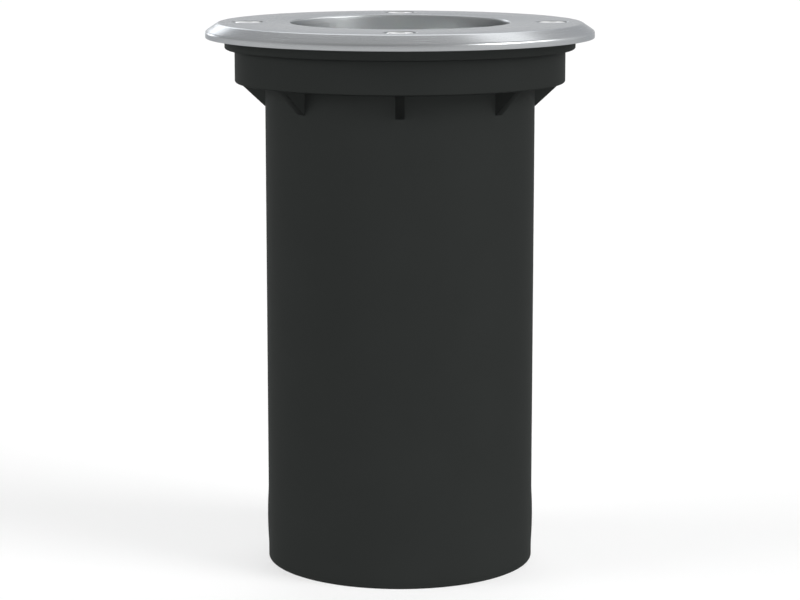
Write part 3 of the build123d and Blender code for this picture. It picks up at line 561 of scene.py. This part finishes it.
def makeThread(size, bottom):
    pitch = size["pitch"]
    thread = traceOutline("thread", [
        (size["root"], bottom),
        (size["crest"], bottom + size["crestStart"] * pitch),
        (size["crest"], bottom + size["crestEnd"] * pitch),
        (size["root"], bottom + size["rootStart"] * pitch),
        (size["root"], bottom + pitch),
    ], closed=False)
    focus(thread)
    winding = thread.modifiers.new("winding", "SCREW")
    winding.screw_offset = pitch * mm
    winding.iterations = size["turns"]
    winding.steps = winding.render_steps = size["threadSteps"]
    bpy.ops.object.modifier_apply(modifier=winding.name)
    focus(thread, "EDIT")
    bpy.ops.mesh.remove_doubles(threshold=weld * mm)
    bpy.ops.mesh.fill_holes(sides=0)
    bpy.ops.mesh.select_face_by_sides(number=4, type="GREATER", extend=False)
    bpy.ops.mesh.poke()  # the two ends
    return closeUp(thread)


def makeCoverScrew(size):
    top = size["seat"] + size["headHeight"]
    bottom = size["seat"] - size["length"]
    head = turned("coverScrew", [
        (0, size["seat"]),
        (size["head"], size["seat"], size["seatRound"]),
        (size["head"], top, size["crown"]),
        (0, top),
    ], size["headSteps"], closed=False)
    cutAway(head, hexBar("socket", size["socketFlats"], top - size["socketDepth"], top + past))
    mouth = hexCorner(size["socketFlats"])
    cutAway(head, turned("socketMouth", [
        (0, top - size["socketBreak"]),
        (mouth, top - size["socketBreak"]),
        (mouth + size["socketBreak"], top),
        (mouth + size["socketBreak"], top + past),
        (0, top + past),
    ], size["socketSteps"], closed=False))
    threadStart = bottom + size["tip"]
    coreTop = threadStart + size["coreTurns"] * size["pitch"]
    point = turned("point", [
        (0, bottom),
        (size["core"] - size["tip"] / 2, bottom),
        (size["core"], threadStart),
        (size["core"], coreTop),
        (0, coreTop),
    ], size["coreSteps"], closed=False)
    joinSolid(point, makeThread(size, threadStart))
    return joinSolid(head, point)


plainScrew = makeCoverScrew(coverScrew)
screwSides = {"right": (1, 0), "back": (0, 1), "left": (-1, 0), "front": (0, -1)}
for side, (across, deep) in screwSides.items():
    screw = ownCopy(plainScrew, "coverScrew" + side.title())
    shift(screw, across * screwRing["circle"], deep * screwRing["circle"])
    settle(screw, "screw_" + side, "screw_steel", screwSteel, "cover_screw_" + side)
bpy.data.objects.remove(plainScrew)


# Mounting sleeve: tube, gusseted collar, flange, screw bosses, blanked cable entries
sleeve = {
    "conduit": 12.75, "conduitRound": 0.2, "tube": 38.25, "tubeInner": 36.25, "footRound": 0.5,
    "floor": 2.5, "floorRound": 0.8, "collar": 46.8, "collarBottom": 138.25, "collarRound": 0.5,
    "collarFoot": 0.3, "belowCollar": 12.0, "shelf": 140.4, "shelfRound": 0.5,
    "flange": 49.6, "flangeBottom": 147.7, "flangeRound": 0.45, "flangeFoot": 0.25,
    "top": 150.3, "recess": 45.0, "recessRound": 0.3, "steps": 160,
    "drain": 3.0, "drainTop": 4.0, "drainCircle": 24.5, "drains": 6, "drainSteps": 32,
}
gusset = {
    "count": 8, "thickness": 2.7, "reach": 45.9, "height": 7.0, "tip": 0.12, "tipRound": 0.3,
    "edgeRound": 0.2, "edgeSteps": 3,
}
boss = {
    "radius": 4.25, "top": 149.9, "topRound": 0.35, "steps": 56, "trim": 45.9, "trimSteps": 128,
    "insertHole": 2.85, "insertDepth": 8.0, "tipHole": 2.25, "tipFloor": 139.9, "holeSteps": 40,
}
entryPad = {
    "height": 12.0, "radius": 8.2, "rise": 0.28, "near": 0.01,
    "spacing": 1.5, "rows": range(2, 16),  # rows of points for the swelling, counted from the foot
}


def makeGussets(size, tube, collarBottom):
    rib = plate("gusset", [
        (tube - past, collarBottom - size["height"]),
        (tube + size["tip"], collarBottom - size["height"], size["tipRound"]),
        (size["reach"], collarBottom),
        (size["reach"], collarBottom + past),
        (tube - past, collarBottom + past),
    ], size["thickness"])
    softenEdges(rib, size["edgeRound"], size["edgeSteps"])
    return copyRound(rib, size["count"])


def makeBosses(size, shelf):
    post = turned("boss", [
        (0, shelf - past),
        (size["radius"], shelf - past),
        (size["radius"], size["top"], size["topRound"]),
        (0, size["top"]),
    ], size["steps"], closed=False)
    ringOf(post, **screwRing)
    trim = rod("trim", size["trim"], shelf - 2 * past, size["top"] + 2 * past, size["trimSteps"])
    return joinSolid(post, trim, "INTERSECT")


def makeBossHoles(size):
    drill = turned("bossHole", [
        (0, size["tipFloor"]),
        (size["tipHole"], size["tipFloor"]),
        (size["tipHole"], size["top"] - size["insertDepth"]),
        (size["insertHole"], size["top"] - size["insertDepth"]),
        (size["insertHole"], size["top"] + past),
        (0, size["top"] + past),
    ], size["holeSteps"], closed=False)
    return ringOf(drill, **screwRing)


def raiseEntries(body, size, tube):  # blanked cable entries, a shallow swelling on each side
    focus(body, "EDIT")
    for side in (1, -1):
        pickPoints(body, lambda p: max(abs(p.x - side * tube), abs(p.z - size["height"])) < size["near"])
        bpy.ops.transform.translate(
            value=(side * size["rise"] * mm, 0, 0),
            use_proportional_edit=True,
            use_proportional_connected=True,
            proportional_edit_falloff="INVERSE_SQUARE",
            proportional_size=size["radius"] * mm,
        )
    bpy.ops.object.mode_set(mode="OBJECT")


def makeSleeve(size):
    body = turned("mountingSleeve", [
        (size["conduit"], 0, size["conduitRound"]),
        (size["tube"], 0, size["footRound"]),
        *[(size["tube"], entryPad["spacing"] * row) for row in entryPad["rows"]],
        (size["tube"], size["collarBottom"] - size["belowCollar"]),
        (size["tube"], size["collarBottom"], size["collarFoot"]),
        (size["collar"], size["collarBottom"], size["collarRound"]),
        (size["collar"], size["flangeBottom"], size["flangeFoot"]),
        (size["flange"], size["flangeBottom"], size["flangeRound"]),
        (size["flange"], size["top"], size["recessRound"]),
        (size["recess"], size["top"], size["recessRound"]),
        (size["recess"], size["shelf"], size["recessRound"]),
        (size["tubeInner"], size["shelf"], size["shelfRound"]),
        (size["tubeInner"], size["floor"], size["floorRound"]),
        (size["conduit"], size["floor"], size["conduitRound"]),
    ], size["steps"])
    raiseEntries(body, entryPad, size["tube"])
    drain = rod("drain", size["drain"], -past, size["drainTop"], size["drainSteps"])
    cutAway(body, ringOf(drain, size["drainCircle"], size["drains"]))
    joinSolid(body, makeGussets(gusset, size["tube"], size["collarBottom"]))
    joinSolid(body, makeBosses(boss, size["shelf"]))
    return cutAway(body, makeBossHoles(boss))


settle(makeSleeve(sleeve), "sleeve", "sleeve_plastic", sleevePlastic, "mounting_sleeve")


# Brass inserts in the bosses, and the flat gasket on the flange
insert = {
    "outer": 2.8, "bore": 2.1, "bottom": 141.9, "top": boss["top"], "mouth": 0.3, "footRound": 0.2,
    "topRound": 0.12, "steps": 40,
}
rimGasket = {
    "inner": 45.3, "outer": 48.6, "bottom": sleeve["top"], "top": coverRing["grooveTop"],
    "bottomRound": 0.15, "topRound": 0.25,
}


def makeInserts(size):
    bush = turned("screwInserts", [
        (size["bore"], size["bottom"]),
        (size["outer"], size["bottom"], size["footRound"]),
        (size["outer"], size["top"], size["topRound"]),
        (size["bore"] + size["mouth"], size["top"]),
        (size["bore"], size["top"] - size["mouth"]),
    ], size["steps"])
    return ringOf(bush, **screwRing)


def makeRimGasket(size):
    return turned("rimGasket", [
        (size["inner"], size["bottom"], size["bottomRound"]),
        (size["outer"], size["bottom"], size["bottomRound"]),
        (size["outer"], size["top"], size["topRound"]),
        (size["inner"], size["top"], size["topRound"]),
    ])


settle(makeInserts(insert), "sleeve", "brass", brass, "screw_inserts")
settle(makeRimGasket(rimGasket), "sleeve", "black_rubber", blackRubber, "rim_gasket")


# Glass with broken edges, in a seal with a U section
glass = {"radius": 37.0, "bottom": 144.2, "top": 149.2, "edgeBreak": 0.5}
glassSeal = {
    "inner": 34.0, "outer": 38.3, "bottom": 143.4, "top": coverRing["bottom"], "slot": 37.05,
    "play": 0.02, "lipRound": 0.15, "outerRound": 0.4,
}


def makeGlass(size):
    return turned("glassLens", [
        (0, size["bottom"]),
        (size["radius"] - size["edgeBreak"], size["bottom"]),
        (size["radius"], size["bottom"] + size["edgeBreak"]),
        (size["radius"], size["top"] - size["edgeBreak"]),
        (size["radius"] - size["edgeBreak"], size["top"]),
        (0, size["top"]),
    ], closed=False)


def makeGlassSeal(size):
    slotTop = glass["top"] + size["play"]
    slotBottom = glass["bottom"] - size["play"]
    return turned("glassSeal", [
        (size["inner"], size["bottom"], size["lipRound"]),
        (size["outer"], size["bottom"], size["outerRound"]),
        (size["outer"], size["top"], size["outerRound"]),
        (size["inner"], size["top"], size["lipRound"]),
        (size["inner"], slotTop, size["lipRound"]),
        (size["slot"], slotTop),
        (size["slot"], slotBottom),
        (size["inner"], slotBottom, size["lipRound"]),
    ])


settle(makeGlass(glass), "cover", "clear_glass", clearGlass, "glass_lens")
settle(makeGlassSeal(glassSeal), "cover", "black_rubber", blackRubber, "glass_gasket")


# Lamp housing: a pot whose scalloped flange hangs on the sleeve's shelf
housing = {
    "glandHole": 8.2, "bottom": 38.0, "radius": 35.75, "footRound": 1.2, "shelf": sleeve["shelf"],
    "flange": 44.4, "top": glassSeal["bottom"], "flangeRound": 0.4, "reflectorSeat": 35.0,
    "reflectorLedge": 142.4, "inner": 33.75, "floor": 41.0, "floorRound": 1.0, "edgeRound": 0.3,
    "fineRound": 0.2, "steps": 144, "scallop": 4.85, "scallopSteps": 64,
}
pillar = {
    "circle": 29.0, "count": 2, "radius": 3.5, "top": 64.0, "topRound": 0.3, "screwHole": 1.6,
    "screwDepth": 8.0, "steps": 40,
}
earthBoss = {
    "across": 21.566, "deep": 17.464, "radius": 4.0, "top": 45.0, "topRound": 0.3, "screwHole": 2.1,
    "screwDepth": 5.0, "steps": 40,
}


def makePost(name, size, floor):  # a round post on the housing's floor, drilled from above
    return turned(name, [
        (0, floor - past),
        (size["radius"], floor - past),
        (size["radius"], size["top"], size["topRound"]),
        (size["screwHole"], size["top"]),
        (size["screwHole"], size["top"] - size["screwDepth"]),
        (0, size["top"] - size["screwDepth"]),
    ], size["steps"], closed=False)


def makeHousing(size):
    pot = turned("lampHousing", [
        (size["glandHole"], size["bottom"], size["edgeRound"]),
        (size["radius"], size["bottom"], size["footRound"]),
        (size["radius"], size["shelf"], size["fineRound"]),
        (size["flange"], size["shelf"], size["edgeRound"]),
        (size["flange"], size["top"], size["flangeRound"]),
        (size["reflectorSeat"], size["top"], size["fineRound"]),
        (size["reflectorSeat"], size["reflectorLedge"]),
        (size["inner"], size["reflectorLedge"], size["fineRound"]),
        (size["inner"], size["floor"], size["floorRound"]),
        (size["glandHole"], size["floor"], size["fineRound"]),
    ], size["steps"])
    low, high = size["shelf"] - past, size["top"] + past
    cutAway(pot, ringOf(rod("scallops", size["scallop"], low, high, size["scallopSteps"]), **screwRing))
    pillars = makePost("pillars", pillar, size["floor"])
    joinSolid(pot, ringOf(pillars, pillar["circle"], pillar["count"]))
    earthPost = makePost("earthPost", earthBoss, size["floor"])
    return joinSolid(pot, shift(earthPost, earthBoss["across"], earthBoss["deep"]))


settle(makeHousing(housing), "luminaire", "cast_aluminium", castAluminium, "lamp_housing")


# Reflector cone round the lamp's front
reflector = {
    "throat": 25.8, "throatHeight": 129.6, "throatRound": 0.25, "mouth": 31.95, "mouthRound": 0.8,
    "wall": 0.8, "seat": housing["reflectorLedge"], "seatRound": 0.4, "rim": 34.8, "rimRound": 0.2,
}


def makeReflector(size):
    top = size["seat"] + size["wall"]
    return turned("lampReflector", [
        (size["throat"], size["throatHeight"], size["throatRound"]),
        (size["throat"] + size["wall"], size["throatHeight"], size["throatRound"]),
        (size["mouth"] + size["wall"], size["seat"], size["seatRound"]),
        (size["rim"], size["seat"], size["rimRound"]),
        (size["rim"], top, size["rimRound"]),
        (size["mouth"], top, size["mouthRound"]),
    ])


settle(makeReflector(reflector), "luminaire", "bright_aluminium", brightAluminium, "reflector")


# Lamp: moulded shell and frosted front
lampShell = {
    "bottom": 79.8, "footRound": 0.8, "neck": 11.5, "neckInside": 10.0, "neckRound": 3.0, "base": 81.8,
    "flareBottom": 94.0, "flareTop": 121.0, "flareRound": 4.0, "radius": 25.0, "top": 128.8,
    "topRound": 0.7, "lensEdge": 23.5, "lensRound": 0.2, "lensSeat": 126.7, "inside": 22.5,
    "insideRound": 2.0, "steps": 112, "pinHole": 1.55, "pinCircle": 5.0, "pins": 2, "pinSteps": 32,
}
lampFront = {
    "radius": 23.4, "bottom": 126.72, "top": 128.3, "edgeRound": 0.3,
    "lip": 1.3, "lipRound": 0.2, "lipSlope": 0.3, "lipDrop": 0.25,
    "crown": 0.3, "halfway": 0.5, "halfwayDrop": 0.6, "middleDrop": 0.4,  # shares of radius and crown
}


def makeLampShell(size):
    shell = turned("lampShell", [
        (0, size["bottom"]),
        (size["neck"], size["bottom"], size["footRound"]),
        (size["neck"], size["flareBottom"], size["neckRound"]),
        (size["radius"], size["flareTop"], size["flareRound"]),
        (size["radius"], size["top"], size["topRound"]),
        (size["lensEdge"], size["top"], size["lensRound"]),
        (size["lensEdge"], size["lensSeat"]),
        (size["inside"], size["lensSeat"]),
        (size["inside"], size["flareTop"], size["insideRound"]),
        (size["neckInside"], size["flareBottom"], size["neckRound"]),
        (size["neckInside"], size["base"]),
        (0, size["base"]),
    ], size["steps"], closed=False)
    holes = rod("pinHoles", size["pinHole"], size["bottom"] - past, size["base"] + past, size["pinSteps"])
    return cutAway(shell, ringOf(holes, size["pinCircle"], size["pins"]))


def makeLampFront(size):
    lipInner = size["radius"] - size["lip"]
    return turned("lampFront", [
        (0, size["bottom"]),
        (size["radius"], size["bottom"]),
        (size["radius"], size["top"], size["edgeRound"]),
        (lipInner, size["top"], size["lipRound"]),
        (lipInner - size["lipSlope"], size["top"] - size["lipDrop"] - size["crown"]),
        (size["radius"] * size["halfway"], size["top"] - size["crown"] * size["halfwayDrop"]),
        (0, size["top"] - size["crown"] * size["middleDrop"]),
    ], closed=False)


settle(makeLampShell(lampShell), "lamp", "lamp_white", lampWhite, "lamp_shell")
settle(makeLampFront(lampFront), "lamp", "lamp_diffuser", lampDiffuser, "lamp_lens")


# Cable gland under the housing: body, washer, seal and nut
glandBody = {
    "bottom": 22.0, "footRound": 0.4, "top": 48.0, "topRound": 0.5, "thread": 8.0, "sealSeat": 6.4,
    "sealTop": 29.0, "bore": 5.5, "steps": 64,
    "flats": 20.0, "hexBottom": 31.5, "hexTop": 36.5, "hexBreak": 0.8, "hexSteps": 96,
}
glandNut = {
    "bottom": 14.7, "top": 31.2, "flats": 20.0, "endRadius": 7.5, "endRound": 0.5, "taperTop": 17.6,
    "taperRound": 0.8, "cornerBreak": 0.6, "hexSteps": 96,
    "mouth": 5.2, "mouthBreak": 0.4, "lip": 20.7, "thread": 8.25, "steps": 64,
}
glandWasher = {
    "inner": 8.2, "outer": 11.5, "bottom": glandBody["hexTop"], "top": housing["bottom"],
    "edgeRound": 0.3, "steps": 96,
}
glandSeal = {
    "inner": 4.2, "outer": 6.3, "bottom": 21.0, "top": glandBody["sealTop"],
    "edgeRound": 0.4, "steps": 96,
}


def makeGlandBody(size):
    corner = hexCorner(size["flats"])
    hexagon = hexBar("glandBody", size["flats"], size["hexBottom"], size["hexTop"])
    joinSolid(hexagon, turned("hexTrim", [
        (0, size["hexBottom"]),
        (corner - size["hexBreak"], size["hexBottom"]),
        (corner, size["hexBottom"] + size["hexBreak"] / 2),
        (corner, size["hexTop"] - size["hexBreak"] / 2),
        (corner - size["hexBreak"], size["hexTop"]),
        (0, size["hexTop"]),
    ], size["hexSteps"], closed=False), "INTERSECT")
    joinSolid(hexagon, turned("glandStem", [
        (0, size["bottom"]),
        (size["thread"], size["bottom"], size["footRound"]),
        (size["thread"], size["top"], size["topRound"]),
        (0, size["top"]),
    ], size["steps"], closed=False))
    return cutAway(hexagon, turned("glandBore", [
        (0, size["bottom"] - past),
        (size["sealSeat"], size["bottom"] - past),
        (size["sealSeat"], size["sealTop"]),
        (size["bore"], size["sealTop"]),
        (size["bore"], size["top"] + past),
        (0, size["top"] + past),
    ], size["steps"], closed=False))


def makeGlandNut(size):
    corner = hexCorner(size["flats"])
    nut = hexBar("glandNut", size["flats"], size["bottom"], size["top"])
    joinSolid(nut, turned("nutTrim", [
        (0, size["bottom"]),
        (size["endRadius"], size["bottom"], size["endRound"]),
        (corner, size["taperTop"], size["taperRound"]),
        (corner, size["top"] - size["cornerBreak"] / 2),
        (corner - size["cornerBreak"], size["top"]),
        (0, size["top"]),
    ], size["hexSteps"], closed=False), "INTERSECT")
    return cutAway(nut, turned("nutBore", [
        (0, size["bottom"] - past),
        (size["mouth"] + size["mouthBreak"], size["bottom"] - past),
        (size["mouth"] + size["mouthBreak"], size["bottom"]),
        (size["mouth"], size["bottom"] + size["mouthBreak"]),
        (size["mouth"], size["lip"]),
        (size["thread"], size["lip"]),
        (size["thread"], size["top"] + past),
        (0, size["top"] + past),
    ], size["steps"], closed=False))


def makeBush(name, size):  # a plain ring with soft edges
    return turned(name, [
        (size["inner"], size["bottom"], size["edgeRound"]),
        (size["outer"], size["bottom"], size["edgeRound"]),
        (size["outer"], size["top"], size["edgeRound"]),
        (size["inner"], size["top"], size["edgeRound"]),
    ], size["steps"])


settle(makeGlandBody(glandBody), "luminaire", "gland_plastic", glandPlastic, "gland_body")
settle(makeGlandNut(glandNut), "clamp_nut", "gland_plastic", glandPlastic, "gland_nut")
settle(makeBush("glandWasher", glandWasher), "luminaire", "black_rubber", blackRubber, "gland_washer")
settle(makeBush("glandSeal", glandSeal), "luminaire", "black_rubber", blackRubber, "gland_seal")


# Pieces closed up inside the housing keep their CAD meshes
innerFinishes = {
    "holder_bracket": zincSteel, "bracket_screws": zincSteel, "holder_screws": zincSteel,
    "terminal_screws": zincSteel, "terminal_fixing_screw": zincSteel, "earth_screw": zincSteel,
    "holder_contacts": brass, "terminal_barrels": brass, "earth_tag": brass, "lamp_pins": brass,
    "lamp_holder": whiteCeramic, "terminal_block": terminalPlastic, "gland_locknut": glandPlastic,
    "live_lead": brownInsulation, "neutral_lead": blueInsulation, "earth_lead": earthInsulation,
    "led_board": lampBoard,
}
for nodeName, finish in innerFinishes.items():
    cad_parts[nodeName].data.materials.clear()
    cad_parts[nodeName].data.materials.append(finish)
print("inner pieces finished:", len(innerFinishes))


# Floor, light and camera
floorLook = {
    "size": 60.0,  # in metres
    "colour": (0.90, 0.90, 0.90, 1),
    "bounce": (0.15, 0.15, 0.15, 1),  # its colour for the light that it throws back
    "glow": 1.25,
    "glowShare": 0.25,
    "drop": 0.05,  # just under the foot, so that the two faces don't share a plane
}
skyLook = {
    "stops": (  # what shines back, from the horizon to overhead
        (0.0, white),
        (0.35, (0.95, 0.95, 0.95, 1)),
        (0.75, (0.82, 0.82, 0.82, 1)),
        (1.0, (0.74, 0.74, 0.74, 1)),
    ),
    "side": 0.25,  # how much brighter the right side mirrors than the middle
    "front": 0.38,  # and how much darker the front does
    "light": 0.60,  # what falls on rough surfaces from near the horizon
    "fall": 1.5,  # and how fast that drops overhead
}
# In degrees: turn is from the front to the right, climb above the horizon, spread the lamp's width.
# Matt lamps light rough surfaces only, and shine lamps only show in metal and glass.
lamps = {
    "keyLamp": {"turn": 66, "climb": 26, "spread": 30, "strength": 1.5, "lights": "all"},
    "leftLamp": {"turn": -78, "climb": 7, "spread": 40, "strength": 2.6, "lights": "matt"},
    "rightLamp": {"turn": 52, "climb": 12, "spread": 30, "strength": 0.9, "lights": "matt"},
    "frontLamp": {"turn": 0, "climb": 47, "spread": 30, "strength": 1.8, "lights": "matt"},
    "backLamp": {"turn": 180, "climb": 44, "spread": 36, "strength": 0.50, "lights": "all"},
    "bevelLamp": {"turn": 143, "climb": 53, "spread": 18, "strength": 0.125, "lights": "all"},
    "edgeLamp": {"turn": -165, "climb": 17, "spread": 14, "strength": 0.18, "lights": "shine"},
    "rimLamp": {"turn": -150, "climb": 7, "spread": 14, "strength": 0.25, "lights": "shine"},
    "glintLamp": {"turn": 97, "climb": 26, "spread": 20, "strength": 0.45, "lights": "shine"},
}
shadowless = ("rightLamp", "frontLamp")  # these reach evenly under the collar
lampDistance = 3.0  # in metres
photoCamera = {
    "place": (0, -0.733, 0.2036), "pitch": -9.94, "nearest": 0.01,  # metres and degrees
    "lens": 116.3, "sensor": 36.0,
}


def seenDirectly(start):  # camera, mirror and see-through rays meet the plain white background
    camera = start.node("LightPath", out="Is Camera Ray")
    most = camera.sum("MAXIMUM", camera, camera.beside("Is Glossy Ray"))
    return most.sum("MAXIMUM", most, camera.beside("Is Transmission Ray"))


def makeFloor(look):
    bpy.ops.object.select_all(action="DESELECT")
    bpy.ops.mesh.primitive_plane_add(size=look["size"], location=(0, 0, -look["drop"] * mm))
    floor = bpy.context.object
    floor.name = "studioFloor"
    material = bpy.data.materials.new("studioFloor")
    material.use_nodes = True
    tree = material.node_tree
    tree.nodes.clear()
    start = Wire(tree)
    seen = seenDirectly(start)
    paint = start.node("BsdfDiffuse", None, {"Color": seen.blend(look["bounce"], look["colour"])})
    glow = start.node("Emission", None, {"Color": white, "Strength": look["glow"]})
    mixed = start.node("MixShader", None, {0: seen * look["glowShare"], 1: paint, 2: glow})
    start.node("OutputMaterial", None, {"Surface": mixed})
    floor.data.materials.append(material)


def makeSky(look):
    world = bpy.data.worlds.new("studioSky")
    bpy.context.scene.world = world
    world.use_nodes = True
    tree = world.node_tree
    tree.nodes.clear()
    start = Wire(tree)
    x = start.node("SeparateXYZ", None, {0: start.node("TexCoord", out="Generated")})
    z = x.beside("Z").sum("MAXIMUM", x.beside("Z"), 0.0)
    ahead = x.sum("MAXIMUM", 0 - x.beside("Y"), 0.0)
    camera = start.node("LightPath", out="Is Camera Ray")
    mirrored = seenDirectly(start)
    climb = z.node("ValToRGB", {"stops": look["stops"]}, {0: z})
    evenness = (1 + look["side"] * x) * (1 - look["front"] * ahead)
    soft = look["light"] * (1 - z) ** look["fall"]
    colour = camera.blend(climb, white)
    strength = camera + (1 - camera) * (mirrored * evenness + (1 - mirrored) * soft)
    back = start.node("Background", None, {"Color": colour, "Strength": strength})
    start.node("OutputWorld", None, {"Surface": back})


def aimAt(thing, target):
    way = thing.location.copy()
    way.x, way.y, way.z = (goal - here for goal, here in zip(target, thing.location))
    thing.rotation_euler = way.to_track_quat("-Z", "Y").to_euler()


def makeLamp(name, look):  # a wide soft sun, of which only the direction counts
    turn, climb = math.radians(look["turn"]), math.radians(look["climb"])
    ground = lampDistance * math.cos(climb)
    place = (ground * math.sin(turn), -ground * math.cos(turn), lampDistance * math.sin(climb))
    bpy.ops.object.light_add(type="SUN", location=place)
    lamp = bpy.context.object
    lamp.name = name
    lamp.data.energy = look["strength"]
    lamp.data.angle = math.radians(look["spread"])
    lamp.visible_glossy = look["lights"] != "matt"
    lamp.visible_diffuse = look["lights"] != "shine"
    lamp.data.use_shadow = name not in shadowless
    aimAt(lamp, (0, 0, 0))


def makeCamera(look):
    tilt = math.radians(90 + look["pitch"])  # 90 looks level
    bpy.ops.object.camera_add(location=look["place"], rotation=(tilt, 0, 0))
    camera = bpy.context.object
    camera.data.sensor_width = look["sensor"]
    camera.data.lens = look["lens"]
    camera.data.clip_start = look["nearest"]
    bpy.context.scene.camera = camera


makeFloor(floorLook)
makeSky(skyLook)
for name, look in lamps.items():
    makeLamp(name, look)
makeCamera(photoCamera)
bpy.context.scene.view_settings.view_transform = "Standard"
print("stage set")
